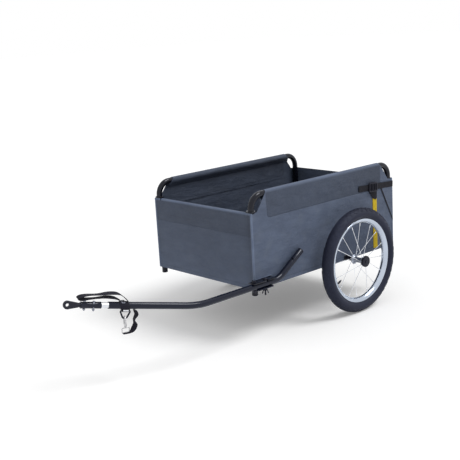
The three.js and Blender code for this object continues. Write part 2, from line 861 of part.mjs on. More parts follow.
function wingNut() {
  const top = barZ - barRadius - plateThickness - clearance * 2;
  const low = top - wingNutHeight;
  const bore = lockBoltDiameter / 2 + clearance;
  const body = alongZ(sleeve(bore, wingNutDiameter / 2, low, top, tubeSides));
  const tip = wingSpan / 2;
  const tipZ = low - wingHeight / 2;
  const wing = slabAlong(outline([
    [bore + clearance, top - wingDrop], [wingNutDiameter / 2, top - wingDrop], [tip, tipZ],
    [tip - wingThickness, tipZ - wingThickness], [bore + wingRoot, low], [bore + clearance, low],
  ]), -wingThickness / 2, wingThickness / 2);
  const askew = THREE.MathUtils.degToRad(wingTurn);
  return join(body, wing, mirrored(wing)).rotateZ(askew).translate(barX, lockY, 0);
}

add('wing_nut', wingNut(), blackPaint);

// What follows is drawn along the front run of the bar: its bend is the origin and it runs along -y
const run = new THREE.Group();
run.position.copy(frontBend);
run.rotation.set(-climb, 0, -inward, 'ZXY');
trailer.add(run);

function alongRun(geometry) {
  return geometry.rotateX(Math.PI);
}

// Spigot in the tube's end, with a groove that the rear bolt of the sleeve runs in
const sleeveStart = frontLength + spigotBare;

function spigot() {
  const radius = barRadius - barWall - clearance;
  const grooveStart = sleeveStart + rearBoltReach - spigotGroove / 2;
  const grooveEnd = grooveStart + spigotGroove;
  return alongRun(turned([
    [0, frontLength - spigotGrip], [radius, frontLength - spigotGrip], [radius, grooveStart],
    [spigotNeck / 2, grooveStart], [spigotNeck / 2, grooveEnd], [radius, grooveEnd],
    [radius, grooveEnd + spigotHead], [0, grooveEnd + spigotHead],
  ], hubSides));
}

add('spigot', spigot(), plated, run);

function crossDrill(side, along, radius) {
  return rod(radius, at(side, -along, -barDiameter), at(side, -along, barDiameter));
}

const rearBoltAt = sleeveStart + rearBoltReach;
const frontBoltAt = sleeveStart + frontBoltReach;
const boltBore = hitchBoltDiameter / 2 + clearance;

function hitchSleeve() {
  const outer = sleeveDiameter / 2;
  const spigotBore = barRadius - barWall;
  const shankBore = shankDiameter / 2 + clearance;
  const end = sleeveStart + sleeveLength;
  const step = end - shankGrip - clearance;
  const shell = alongRun(turned([
    [spigotBore, sleeveStart], [outer, sleeveStart], [outer, end], [shankBore, end], [shankBore, step],
    [spigotBore, step], [spigotBore, sleeveStart],
  ], hubSides));
  return cut(shell, crossDrill(rearBoltSide, rearBoltAt, boltBore), crossDrill(0, frontBoltAt, boltBore));
}

add('hitch_sleeve', hitchSleeve(), blackPaint, run);

// Eye: a flat plate, drawn as a ring and a shank's end joined by straight flanks, on a round shank
function hitchEye() {
  const shankStart = sleeveStart + sleeveLength - shankGrip;
  const shankEnd = sleeveStart + sleeveLength + shankBare;
  const middle = sleeveStart + sleeveLength + eyeReach;
  const ring = eyeDiameter / 2;
  const root = shankDiameter / 2;
  const half = eyeThickness / 2;
  const spread = Math.asin((ring - root) / (middle - shankEnd));
  const plate = new THREE.Shape();
  plate.absarc(-middle, 0, ring, Math.PI / 2 - spread, Math.PI * 3 / 2 + spread, false);
  plate.lineTo(root * Math.sin(spread) - shankEnd, -root * Math.cos(spread));
  plate.lineTo(root * Math.sin(spread) - shankEnd, root * Math.cos(spread));
  plate.holes.push(new THREE.Path().absarc(-middle, 0, eyeHole / 2, 0, Math.PI * 2, true));
  const shank = rod(root, at(0, -shankStart, 0), at(0, -shankEnd, 0), hubSides);
  const neck = rod(root, at(0, -shankEnd, 0), at(0, -shankEnd - shankNeck, 0), hubSides, half - clearance);
  return cut(join(shank, neck, slabAcross(plate, -half, half, 8)), crossDrill(0, frontBoltAt, boltBore));
}

add('hitch_eye', hitchEye(), blackPaint, run);

function hitchBolt(side, along) {
  const seat = sleeveDiameter / 2 + clearance;
  const end = seat + hitchNutHeight + hitchBoltEnd;
  const shank = rod(hitchBoltDiameter / 2, at(0, 0, -end), at(0, 0, seat + hitchHeadHeight / 2));
  const head = hexagon(hitchHeadWidth, hitchHeadHeight).translate(0, 0, seat);
  const nut = hexagon(hitchHeadWidth, hitchNutHeight).translate(0, 0, -seat - hitchNutHeight);
  return join(shank, head, nut).translate(side, -along, 0);
}

add('rear_hitch_bolt', hitchBolt(rearBoltSide, rearBoltAt), plated, run);
add('front_hitch_bolt', hitchBolt(0, frontBoltAt), plated, run);

// Safety strap: a wrap round the tube that carries the ring, the snap hook and two runs of webbing
const wrapMiddle = frontLength - wrapReach;
const wrapInner = barRadius + clearance;
const hangerBore = ringWire * Math.SQRT1_2 + clearance;
const hangerZ = -(wrapInner + webbing + hangerBore);
const ringMiddle = wrapMiddle - ringShift;

function strapWrap() {
  const wrap = alongRun(sleeve(wrapInner, wrapInner + webbing, wrapMiddle - wrapLength / 2,
    wrapMiddle + wrapLength / 2, hubSides));
  const hanger = alongRun(sleeve(hangerBore, hangerBore + hangerWall, ringMiddle - hangerLength / 2,
    ringMiddle + hangerLength / 2, tubeSides)).translate(0, 0, hangerZ);
  const keepClear = rod(wrapInner, at(0, wrapLength - wrapMiddle, 0), at(0, -wrapMiddle - wrapLength, 0),
    hubSides);
  return cut(join(wrap, hanger), keepClear);
}

add('strap_wrap', strapWrap(), blackWeb, run);

// Four-sided ring, wide at the top, with its top bar in the hanger
const ringFootZ = hangerZ - ringHeight;

function strapRing() {
  const half = ringWire / 2;
  const edge = (grow) => {
    const top = ringTop / 2 + grow;
    const foot = ringFoot / 2 + grow;
    return outline([
      [-ringMiddle - top, hangerZ + grow], [-ringMiddle + top, hangerZ + grow],
      [-ringMiddle + foot, ringFootZ - grow], [-ringMiddle - foot, ringFootZ - grow],
    ]);
  };
  const shape = edge(half);
  shape.holes.push(edge(-half));
  return slabAcross(shape, -half, half);
}

add('strap_ring', strapRing(), blackPaint, run);

// Snap hook: a slotted hook plate hung plumb on the ring's foot, a stem and a square eye for the webbing
const slotHalf = hookWidth / 2 - hookLimb;
const slotArch = slotHalf - Math.sqrt(slotHalf ** 2 - (ringWire / 2) ** 2);
const hookRoom = clearance * 2 + hookThickness / 2 * Math.sin(climb);
const slotTopZ = ringFootZ + ringWire / 2 + hookRoom + slotArch;
const slotFootZ = slotTopZ - hookSlotLength;
const hookFootZ = slotFootZ - hookBase;
const gateFootZ = slotFootZ - clearance;
const stemFootZ = hookFootZ - stemLength;
const webEyeZ = stemFootZ - webEyeHeight;
const limbX = hookWidth / 2 - hookLimb / 2;
const plumb = new THREE.Matrix4().makeTranslation(0, -ringMiddle, ringFootZ)
  .multiply(new THREE.Matrix4().makeRotationX(climb))
  .multiply(new THREE.Matrix4().makeTranslation(0, ringMiddle, -ringFootZ));

function stadium(half, top, foot) {
  const shape = new THREE.Shape();
  shape.absarc(0, top - half, half, 0, Math.PI, false);
  shape.lineTo(-half, foot);
  shape.lineTo(half, foot);
  return shape;
}

function snapHook() {
  const plateShape = stadium(hookWidth / 2, slotTopZ + hookLimb, hookFootZ);
  plateShape.holes.push(stadium(slotHalf, slotTopZ, slotFootZ));
  const plate = slabAlong(plateShape, -ringMiddle - hookThickness / 2, -ringMiddle + hookThickness / 2, 8);
  const mouthTopZ = gateFootZ + gateLength + gateWidth / 2 + clearance * 2;
  const mouth = block(slotHalf - clearance, hookWidth, -ringMiddle - hookThickness,
    -ringMiddle + hookThickness, gateFootZ, mouthTopZ);
  const stem = rod(stemDiameter / 2, at(0, -ringMiddle, stemFootZ - webEyeWire / 2),
    at(0, -ringMiddle, hookFootZ + hookBase / 2));
  const square = (inset) => {
    const front = -ringMiddle - webEyeWidth / 2 + inset;
    const rear = -ringMiddle + webEyeWidth / 2 - inset;
    const low = webEyeZ + inset;
    const high = stemFootZ - inset;
    return outline([[front, low], [rear, low], [rear, high], [front, high]]);
  };
  const eyeShape = square(0);
  eyeShape.holes.push(square(webEyeWire));
  const eye = slabAcross(eyeShape, -ringWire / 2, ringWire / 2);
  return join(cut(plate, mouth), stem, eye).applyMatrix4(plumb);
}

add('snap_hook', snapHook(), plated, run);

function hookGate() {
  const half = gateWidth / 2;
  const shape = new THREE.Shape();
  shape.absarc(limbX, gateFootZ + half + clearance, half, Math.PI, Math.PI * 2, false);
  shape.lineTo(limbX + half, gateFootZ + gateLength);
  shape.lineTo(limbX - half, gateFootZ + gateLength);
  const thick = hookThickness / 2 - clearance;
  return slabAlong(shape, -ringMiddle - thick, -ringMiddle + thick, 4).applyMatrix4(plumb);
}

add('hook_gate', hookGate(), plated, run);

// A ribbon drawn by its middle line, as pairs of place along the bar and height
function ribbon(points, width, steps) {
  const line = new THREE.SplineCurve(points.map(([along, up]) => new THREE.Vector2(-along, up)));
  const left = [];
  const right = [];
  for (let k = 0; k <= steps; k++) {
    const place = line.getPoint(k / steps);
    const way = line.getTangent(k / steps);
    left.push([place.x - way.y * webbing / 2, place.y + way.x * webbing / 2]);
    right.push([place.x + way.y * webbing / 2, place.y - way.x * webbing / 2]);
  }
  return slabAcross(outline([...left, ...right.reverse()]), -width / 2, width / 2);
}

// Spare webbing folded forward over the hitch, clear of its turning bolt heads
function strapLoops() {
  const low = wrapInner + webbing + clearance + webbing / 2;
  const rear = wrapMiddle - loopBehind;
  const span = frontBoltAt + loopAhead - rear;
  const places = loopShares.map(([along, up]) => [rear + span * along, low + loopHeight * up]);
  return ribbon(places, webWidth, 42);
}

add('strap_loops', strapLoops(), blackWeb, run);

// The run of webbing from the tube down to the square eye
function strapTail() {
  const topAt = wrapMiddle - tailShift;
  const topZ = -(barRadius + clearance + webbing / 2);
  const footZ = webEyeZ - clearance - webbing / 2;
  const depth = topZ - footZ;
  const places = tailShares.map(([out, down]) => [topAt + tailBulge * out, topZ - depth * down]);
  for (const along of [ringMiddle - webEyeWidth / 2, ringMiddle + webEyeWidth / 2 - webEyeWire]) {
    const foot = at(0, -along, footZ).applyMatrix4(plumb);
    places.push([-foot.y, foot.z]);
  }
  return ribbon(places, webWidth, 28);
}

add('strap_tail', strapTail(), blackWeb, run);

// The origin is on the ground below the middle of the whole
trailer.updateMatrixWorld(true);
const extent = new THREE.Box3().setFromObject(trailer, true);
trailer.position.y = -(extent.min.y + extent.max.y) / 2;
trailer.updateMatrixWorld(true);

export default trailer;
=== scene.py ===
import math

import bpy
from mathutils import Matrix, Vector, noise


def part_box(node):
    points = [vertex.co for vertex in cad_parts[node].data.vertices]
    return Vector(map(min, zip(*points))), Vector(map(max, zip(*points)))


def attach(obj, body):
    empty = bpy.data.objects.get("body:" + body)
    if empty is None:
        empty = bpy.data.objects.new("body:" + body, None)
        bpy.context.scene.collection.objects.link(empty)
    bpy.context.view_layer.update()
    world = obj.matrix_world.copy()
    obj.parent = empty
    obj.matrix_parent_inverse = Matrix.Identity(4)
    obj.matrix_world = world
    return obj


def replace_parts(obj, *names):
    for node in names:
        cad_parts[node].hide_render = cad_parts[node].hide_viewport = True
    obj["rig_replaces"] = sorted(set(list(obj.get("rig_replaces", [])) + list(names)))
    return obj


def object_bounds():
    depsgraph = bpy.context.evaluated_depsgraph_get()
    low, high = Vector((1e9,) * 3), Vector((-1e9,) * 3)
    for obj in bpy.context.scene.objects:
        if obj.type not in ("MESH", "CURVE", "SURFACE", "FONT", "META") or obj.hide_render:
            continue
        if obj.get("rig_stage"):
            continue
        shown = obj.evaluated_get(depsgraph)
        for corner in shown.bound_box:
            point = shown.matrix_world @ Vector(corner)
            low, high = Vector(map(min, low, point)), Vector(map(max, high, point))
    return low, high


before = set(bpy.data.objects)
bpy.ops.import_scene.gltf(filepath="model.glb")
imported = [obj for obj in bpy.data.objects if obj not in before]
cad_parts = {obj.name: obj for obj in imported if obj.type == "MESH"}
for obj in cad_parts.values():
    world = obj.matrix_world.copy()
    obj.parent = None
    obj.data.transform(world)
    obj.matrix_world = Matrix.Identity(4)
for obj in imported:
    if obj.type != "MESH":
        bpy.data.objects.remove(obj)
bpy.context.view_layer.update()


# The trailer is looked at from its front left corner, from standing height, with a long lens.
# The camera leans a little to one side. All places along the trailer count from its tub's middle.
board_low, board_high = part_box("floor_board")
tub_y = (board_low.y + board_high.y) / 2


def place(x, y, z):
    return Vector((x, tub_y + y, z))


camera_spot = place(2.4438, -2.4634, 1.1197)
bpy.ops.object.camera_add(location=camera_spot)
camera = bpy.context.object
to_right = Vector((0.67956, 0.73144, -0.05649))
to_top = Vector((-0.13077, 0.19655, 0.97174))
to_back = Vector((0.72187, -0.65297, 0.22921))
camera.rotation_euler = Matrix((to_right, to_top, to_back)).transposed().to_euler()
camera.data.lens = 70.59
camera.data.sensor_width = 36
bpy.context.scene.camera = camera


# The floor is a pale studio floor that runs out into a white room, and its shadows are lifted a
# little for the camera. A soft lamp stands high behind the trailer's left, and the room fills in.
class Value:
    """What comes out of a node. Sums on it add Math nodes to its finish."""

    def __init__(self, finish, socket):
        self.finish = finish
        self.socket = socket

    def sum(self, operation, first, second=0.0):
        return self.finish.node("Math", {"operation": operation}, {0: first, 1: second})

    def __add__(self, other):
        return self.sum("ADD", self, other)

    def __sub__(self, other):
        return self.sum("SUBTRACT", self, other)

    def __mul__(self, other):
        return self.sum("MULTIPLY", self, other)

    def __pow__(self, other):
        return self.sum("POWER", self, other)

    def __rsub__(self, other):
        return self.sum("SUBTRACT", other, self)

    __radd__ = __add__
    __rmul__ = __mul__

    def sine(self):
        return self.sum("SINE", self)

    def size(self):
        return self.sum("ABSOLUTE", self)

    def larger(self, other):
        return self.sum("MAXIMUM", self, other)

    def smaller(self, other):
        return self.sum("MINIMUM", self, other)

    def step(self, low, high):
        """0 below low, 1 above high and an even slope between them."""
        return self.finish.node("MapRange", {"clamp": True}, {0: self, 1: low, 2: high})


class Finish:
    """A material. Its node() adds any other node and gives what comes out of it."""

    def __init__(self, name):
        self.material = bpy.data.materials.new(name)
        self.material.use_nodes = True
        self.tree = self.material.node_tree
        self.shader = self.tree.nodes["Principled BSDF"]

    def node(self, kind, settings=None, sockets=None, out=0):
        made = self.tree.nodes.new("ShaderNode" + kind)
        for name, setting in (settings or {}).items():
            setattr(made, name, setting)
        self.fill(made, sockets or {})
        return Value(self, made.outputs[out])

    def fill(self, made, sockets):
        for name, value in sockets.items():
            if isinstance(value, Value):
                self.tree.links.new(value.socket, made.inputs[name])
            elif isinstance(value, tuple) and len(value) == 3 and made.inputs[name].type == "RGBA":
                made.inputs[name].default_value = (*value, 1)
            else:
                made.inputs[name].default_value = value

    def set(self, **sockets):
        self.fill(self.shader, {name.replace("_", " "): value for name, value in sockets.items()})
        return self

    def spot(self, output="Object"):
        return self.node("TexCoord", out=output)

    def along(self, where):
        """The three parts of a place, one Value each."""
        return [self.node("SeparateXYZ", {}, {0: where}, part) for part in range(3)]

    def noise(self, scale, detail=3, where=None):
        return self.node("TexNoise", {}, {"Vector": where or self.spot(), "Scale": scale, "Detail": detail})

    def mix(self, share, low, high):
        return self.node("Mix", {"data_type": "RGBA"}, {0: share, 6: low, 7: high}, 2)

    def relief(self, height, depth):
        """A bump as deep as depth where height goes from 0 to 1."""
        return self.node("Bump", {}, {"Height": height, "Distance": depth, "Strength": 1.0})


floor_wide = 60
floor_z = -0.0004
bpy.ops.mesh.primitive_plane_add(size=floor_wide, location=(0, 0, floor_z))
floor = bpy.context.object
floor.name = "studio_floor"
ground = Finish("studio_floor")
camera_ray, glossy_ray, clear_ray = (ground.node("LightPath", out=output) for output in (0, 3, 6))
lifted = (camera_ray + glossy_ray + clear_ray).smaller(1.0)
ground.set(
    Base_Color=(0.95, 0.95, 0.95),
    Roughness=0.9,
    Specular_IOR_Level=0.0,
    Emission_Color=ground.mix(lifted, (0, 0, 0), (0.13, 0.13, 0.13)),
    Emission_Strength=1.0,
)
floor.data.materials.append(ground.material)
floor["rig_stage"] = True

world = bpy.data.worlds.new("white_room")
bpy.context.scene.world = world
world.use_nodes = True
tree = world.node_tree
backdrop = tree.nodes["Background"]
rays = tree.nodes.new("ShaderNodeLightPath")
seen = tree.nodes.new("ShaderNodeMath")
seen.operation = "ADD"
seen.use_clamp = True
also = tree.nodes.new("ShaderNodeMath")
also.operation = "ADD"
level = tree.nodes.new("ShaderNodeMapRange")
room_light = 0.62
level.inputs["To Min"].default_value = room_light
level.inputs["To Max"].default_value = 1.0
tree.links.new(rays.outputs["Is Camera Ray"], also.inputs[0])
tree.links.new(rays.outputs["Is Glossy Ray"], also.inputs[1])
tree.links.new(also.outputs[0], seen.inputs[0])
tree.links.new(rays.outputs["Is Transmission Ray"], seen.inputs[1])
tree.links.new(seen.outputs[0], level.inputs["Value"])
tree.links.new(level.outputs[0], backdrop.inputs["Strength"])
backdrop.inputs["Color"].default_value = (1, 1, 1, 1)

lamp_way = Vector((0.55, 0.42, 1.0))
bpy.ops.object.light_add(type="SUN", location=(2, 2, 4))
lamp = bpy.context.object
lamp.data.energy = 1.5
lamp.data.angle = math.radians(26)
lamp.rotation_euler = lamp_way.to_track_quat("Z", "Y").to_euler()
bpy.context.scene.view_settings.view_transform = "Standard"


# The two side frames are steel tubes of 22 mm, each bent to an upturned U that carries the side
# cloth. They are painted gloss black, with faint waves in the paint and dull rubbed spots.
def bare_scene():
    bpy.ops.object.select_all(action="DESELECT")


def finished(piece, name, paint, body, *nodes, slot=None, smooth=30):
    """Puts a piece's origin at the scene's, smooths it and tells what it is made of and rides on."""
    bare_scene()
    piece.select_set(True)
    bpy.context.view_layer.objects.active = piece
    bpy.ops.object.transform_apply(location=True, rotation=True, scale=True)
    bpy.ops.object.shade_smooth_by_angle(angle=math.radians(smooth))
    piece.name = name
    piece.data.name = name
    piece.data.materials.clear()
    piece.data.materials.append(paint.material)
    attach(piece, body)
    if nodes:
        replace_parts(piece, *nodes)
    return piece


def modified(piece, kind, **settings):
    """Adds a modifier and applies it."""
    bpy.context.view_layer.objects.active = piece
    modifier = piece.modifiers.new(kind.lower(), kind)
    for name, value in settings.items():
        setattr(modifier, name, value)
    bpy.ops.object.modifier_apply(modifier=modifier.name)
    return piece


def edited(piece, *steps):
    """Selects all of a piece in edit mode and takes the steps there."""
    bare_scene()
    piece.select_set(True)
    bpy.context.view_layer.objects.active = piece
    bpy.ops.object.mode_set(mode="EDIT")
    bpy.ops.mesh.select_all(action="SELECT")
    for step in steps:
        step()
    bpy.ops.object.mode_set(mode="OBJECT")
    return piece


def outward():
    bpy.ops.mesh.select_all(action="SELECT")
    bpy.ops.mesh.remove_doubles(threshold=0.00001)
    bpy.ops.mesh.normals_make_consistent(inside=False)


def bent_tube(corners, bends, radius, wall, sides=32, bend_steps=14):
    """A ring drawn along the straights and spun round the bends, then given its wall."""
    first = (corners[1] - corners[0]).normalized()
    bare_scene()
    bpy.ops.mesh.primitive_circle_add(
        vertices=sides, radius=radius, location=corners[0], rotation=first.to_track_quat("Z", "Y").to_euler()
    )
    piece = bpy.context.object

    def draw():
        here = corners[0]
        for last, corner, following, bend in zip(corners, corners[1:], corners[2:], bends):
            into = (corner - last).normalized()
            out = (following - corner).normalized()
            turn = into.angle(out)
            setback = bend * math.tan(turn / 2)
            begin = corner - into * setback
            axis = into.cross(out).normalized()
            bpy.ops.mesh.extrude_region_move(TRANSFORM_OT_translate={"value": begin - here})
            middle = begin + axis.cross(into) * bend
            bpy.ops.mesh.spin(steps=bend_steps, angle=turn, center=middle, axis=-axis)
            here = corner + out * setback
        bpy.ops.mesh.extrude_region_move(TRANSFORM_OT_translate={"value": corners[-1] - here})

    edited(piece, draw, outward)
    modified(piece, "SOLIDIFY", thickness=wall, offset=-1)
    return modified(piece, "BEVEL", width=wall / 4, segments=2, limit_method="ANGLE", angle_limit=1.0)


def gloss_black(name, dark=(0.005, 0.005, 0.009), rubbed_tone=(0.012, 0.012, 0.018)):
    paint = Finish(name)
    waves = paint.noise(35, 2)
    rubbed = paint.noise(9, 6).step(0.56, 0.74)
    specks = paint.noise(900, 2)
    paint.set(
        Base_Color=paint.mix(rubbed * 0.5, dark, rubbed_tone),
        Roughness=0.2 + rubbed * 0.14 + specks * 0.04,
        Specular_IOR_Level=0.08,
        Specular_Tint=(0.72, 0.76, 1.0),
        Coat_Weight=0.5,
        Coat_Roughness=0.07,
        Coat_Tint=(0.74, 0.83, 1.0),
        Normal=paint.relief(waves + specks * 0.1, 0.0003),
    )
    return paint


black_paint = gloss_black("gloss_black_paint")
frame_low, frame_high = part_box("left_side_frame")
rail_radius = 0.011
rail_wall = 0.0015
rail_bend = 0.048
leg_x = (frame_low.x + frame_high.x) / 2
leg_y = (frame_high.y - frame_low.y) / 2 - rail_radius
rail_top_z = frame_high.z - rail_radius
for side, name in ((1, "left"), (-1, "right")):
    tube = bent_tube(
        [
            place(side * leg_x, -leg_y, frame_low.z),
            place(side * leg_x, -leg_y, rail_top_z),
            place(side * leg_x, leg_y, rail_top_z),
            place(side * leg_x, leg_y, frame_low.z),
        ],
        [rail_bend, rail_bend],
        rail_radius,
        rail_wall,
    )
    finished(tube, name + "_frame_tube", black_paint, "frame", name + "_side_frame", slot="black_paint")


# The floor frame lies low in the tub: two rails with a drilled hole for the axle socket, two cross
# tubes and the axle tube, all of the same painted steel, welded up at the corners.
def turned(profile, middle, axis, steps=48, bevel=0.0):
    """A profile of radius and place along the axis, spun once round it."""
    bare_scene()
    bpy.ops.mesh.primitive_circle_add(vertices=len(profile), radius=1)
    piece = bpy.context.object
    axis = axis.normalized()
    side = axis.orthogonal().normalized()
    for vertex, (radius, along) in zip(piece.data.vertices, profile):
        vertex.co = middle + side * radius + axis * along

    def spin():
        bpy.ops.mesh.spin(steps=steps, angle=math.tau, center=middle, axis=axis)
        bpy.ops.mesh.select_all(action="SELECT")
        bpy.ops.mesh.remove_doubles(threshold=0.00001)
        bpy.ops.mesh.delete_loose()

    edited(piece, spin, outward)
    if bevel:
        modified(piece, "BEVEL", width=bevel, segments=3, limit_method="ANGLE", angle_limit=0.6)
    return piece


def sleeve(inner, outer, begin, end, middle, axis, steps=48, bevel=0.0004):
    return turned([(inner, begin), (outer, begin), (outer, end), (inner, end)], middle, axis, steps, bevel)


def cut(piece, tool):
    """Cuts the tool's shape out of the piece and throws the tool away."""
    modified(piece, "BOOLEAN", operation="DIFFERENCE", solver="EXACT", object=tool)
    bpy.data.objects.remove(tool)
    return piece


def drilled(piece, radius, spot, turn=(0, 0, 0), sides=32):
    """Drills a round hole right through a piece."""
    bare_scene()
    bpy.ops.mesh.primitive_cylinder_add(
        vertices=sides, radius=radius, depth=0.06, location=spot, rotation=turn
    )
    return cut(piece, bpy.context.object)


up = Vector((0, 0, 1))
to_left = Vector((1, 0, 0))
socket_radius = 0.0078
axle_low, axle_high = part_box("axle_tube")
axle_z = (axle_low.z + axle_high.z) / 2
axle_y = (axle_low.y + axle_high.y) / 2 - tub_y
for name in ("left_bottom_rail", "right_bottom_rail", "front_cross_tube", "rear_cross_tube", "axle_tube"):
    low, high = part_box(name)
    middle = (low + high) / 2
    run_out = Vector((0, (high.y - low.y) / 2, 0)) if "rail" in name else Vector(((high.x - low.x) / 2, 0, 0))
    tube = bent_tube([middle - run_out, middle + run_out], [], (high.z - low.z) / 2, rail_wall)
    if "rail" in name:
        drilled(tube, socket_radius, Vector((middle.x, tub_y + axle_y, axle_z)), (0, math.pi / 2, 0))
    finished(tube, name + "_steel", black_paint, "frame", name, slot="black_paint")


# The front crossbar holds the top of the front cloth. Its ends sit on a collar round each leg, a
# pressed steel ring that shows above the cloth's corner.
bar_low, bar_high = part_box("front_crossbar")
crossbar_radius = 0.008
crossbar_z = bar_low.z + crossbar_radius
crossbar_y = -0.3822
crossbar_end = 0.2399
collar_outer = bar_high.x - leg_x
collar_gap = 0.0002
collar_tall = 0.005
collar_z = bar_high.z
tab_x = 0.2355
tab_wide = 0.009
tab_long = 0.008
tab_bevel_share = 0.08
tube = bent_tube(
    [place(-crossbar_end, crossbar_y, crossbar_z), place(crossbar_end, crossbar_y, crossbar_z)],
    [],
    crossbar_radius,
    rail_wall,
)
finished(tube, "front_crossbar_tube", black_paint, "frame", "front_crossbar", slot="black_paint")
for side, name in ((1, "left"), (-1, "right")):
    ring = sleeve(
        rail_radius + collar_gap, collar_outer, -collar_tall, 0,
        place(side * leg_x, -leg_y, collar_z), up, bevel=0.0012,
    )
    finished(ring, name + "_collar", black_paint, "frame", "front_crossbar", slot="black_paint")
    bare_scene()
    tab_spot = place(side * tab_x, -leg_y, (crossbar_z + collar_z) / 2)
    bpy.ops.mesh.primitive_cube_add(size=1, location=tab_spot)
    tab = bpy.context.object
    tab.scale = (tab_wide, tab_long, collar_z - crossbar_z)
    modified(tab, "BEVEL", width=tab_bevel_share, segments=2)
    finished(tab, name + "_collar_tab", black_paint, "frame", "front_crossbar", slot="black_paint")


# Four black plastic feet close the legs' ends: a plug in the tube under a flat disc of the tube's
# width with a rounded sole, moulded with a fine grain.
def moulded_black(name, grain=1400):
    plastic = Finish(name)
    pores = plastic.noise(grain, 3)
    wear_and_painted_shade = plastic.noise(14, 5).step(0.5, 0.8)
    plastic.set(
        Base_Color=plastic.mix(wear_and_painted_shade, (0.009, 0.009, 0.015), (0.018, 0.018, 0.027)),
        Roughness=0.42 + pores * 0.12 + wear_and_painted_shade * 0.1,
        Specular_IOR_Level=0.28,
        Specular_Tint=(0.78, 0.82, 1.0),
        Normal=plastic.relief(pores, 0.00025),
    )
    return plastic


black_plastic = moulded_black("moulded_black_plastic")
disc = 0.004
plug = 0.0089
plug_bevel = 0.001
for corner in ("left_front", "left_rear", "right_front", "right_rear"):
    low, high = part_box(corner + "_foot")
    radius = (high.x - low.x) / 2
    tall = high.z - low.z
    profile = [
        (0, 0), (radius * 0.8, 0), (radius * 0.95, disc * 0.2), (radius, disc * 0.5), (radius, disc * 0.9),
        (radius * 0.97, disc), (plug, disc), (plug, tall - plug_bevel), (plug - plug_bevel, tall), (0, tall),
    ]
    middle = Vector(((low.x + high.x) / 2, (low.y + high.y) / 2, low.z))
    plugged = turned(profile, middle, up, 40)
    finished(plugged, corner + "_foot_plug", black_plastic, "frame", corner + "_foot", slot="black_plastic")


# The floor board is dark film-faced plywood, notched round the legs, with its layers showing at
# the sawn edge and a fine wire pattern pressed into the film.
def plate(outline, thickness, bevel=0.0, segments=2):
    """A flat outline, given as corners in space, pulled out by its thickness."""
    bare_scene()
    bpy.ops.mesh.primitive_circle_add(vertices=len(outline), radius=1, fill_type="NGON")
    piece = bpy.context.object
    for vertex, corner in zip(piece.data.vertices, outline):
        vertex.co = corner
    edited(
        piece,
        lambda: bpy.ops.mesh.extrude_region_move(TRANSFORM_OT_translate={"value": thickness}),
        outward,
    )
    if bevel:
        modified(piece, "BEVEL", width=bevel, segments=segments, limit_method="ANGLE", angle_limit=0.6)
    return piece


wide = board_high.x
long = board_high.y - tub_y
notch_x = 0.2399
notch_y = long - (wide - notch_x)
board_corners = [
    (-notch_x, -long), (notch_x, -long), (notch_x, -notch_y),
    (wide, -notch_y), (wide, notch_y), (notch_x, notch_y),
    (notch_x, long), (-notch_x, long), (-notch_x, notch_y),
    (-wide, notch_y), (-wide, -notch_y), (-notch_x, -notch_y),
]
board = plate(
    [place(x, y, board_low.z) for x, y in board_corners], up * (board_high.z - board_low.z), 0.0006
)
film = Finish("film_faced_board")
x, y, z = film.along(film.spot())
wire_waves = 1571
layer_waves = 4500
mesh_lines = ((x * wire_waves).sine() * (y * wire_waves).sine()).size()
scuffs = film.noise(6, 8).step(0.52, 0.75)
layers = (z * layer_waves).sine().step(-0.2, 0.2)
face = film.node("NewGeometry", out="Normal")
edge = 1 - film.along(face)[2].size().step(0.3, 0.7)
film.set(
    Base_Color=film.mix(
        edge,
        film.mix(scuffs, (0.030, 0.027, 0.026), (0.060, 0.055, 0.050)),
        film.mix(layers, (0.16, 0.10, 0.06), (0.30, 0.21, 0.13)),
    ),
    Roughness=0.5 + scuffs * 0.2 + edge * 0.2,
    Normal=film.relief(mesh_lines * (1 - edge), 0.0002),
)
finished(board, "floor_board_plywood", film, "frame", "floor_board", slot="board")


# The cloth is grey coated polyester: a fine plain weave under a thin dull coating, a little uneven
# in colour, with lighter dusty spots and painted light and shade along its broad folds. Each panel
# is drawn as a grid along its path.
def coated_cloth(name, warp, weft, tone=1.0, seams_and_shading=None):
    """warp and weft are the two directions of the threads, as numbers of the axes. The last argument
    gives how much darker the cloth is at a place, partly from doubled cloth and partly as painted
    light and shade, and where its seams lie, drawn in by their thread."""
    cloth = Finish(name)
    where = cloth.spot()
    parts = cloth.along(where)
    thread = 5700
    weave = (parts[warp] * thread).sine() * (parts[weft] * thread).sine()
    broad = cloth.noise(3.2, 4)
    slubs = cloth.noise(60, 4, cloth.node("Mapping", {}, {"Vector": where, "Scale": (1, 1, 8)}))
    dust = cloth.noise(22, 8).step(0.5, 0.78)
    dark = tuple(tone * share for share in (0.050, 0.066, 0.106))
    light = tuple(tone * share for share in (0.090, 0.116, 0.176))
    faded = tuple(tone * share for share in (0.13, 0.15, 0.18))
    # The folds noise bends the surface and is also mixed into the colour as painted light and shade along the
    # folds.
    folds_relief_and_shade = cloth.noise(13, 4, cloth.node("Mapping", {}, {"Vector": where, "Scale": (1, 1, 2.4)}))
    patches_and_fold_shade = broad.step(0.3, 0.7) * 0.35 + folds_relief_and_shade.step(0.35, 0.65) * 0.4 + slubs * 0.25
    color = cloth.mix(dust * 0.3, cloth.mix(patches_and_fold_shade, dark, light), faded)
    height = weave * 0.5 + slubs * 0.35 + folds_relief_and_shade * 24.0 + 0.5
    if seams_and_shading:
        shade, seam = seams_and_shading(cloth, *parts)
        shaded = (0.009, 0.013, 0.025)
        color = cloth.mix(shade, color, shaded)
        color = cloth.mix(seam * 0.5, color, shaded)
        height = height - seam * 2.0
    cloth.set(
        Base_Color=color,
        Roughness=0.58 + broad * 0.12 + dust * 0.12,
        Specular_IOR_Level=0.4,
        Normal=cloth.relief(height, 0.00028),
    )
    return cloth


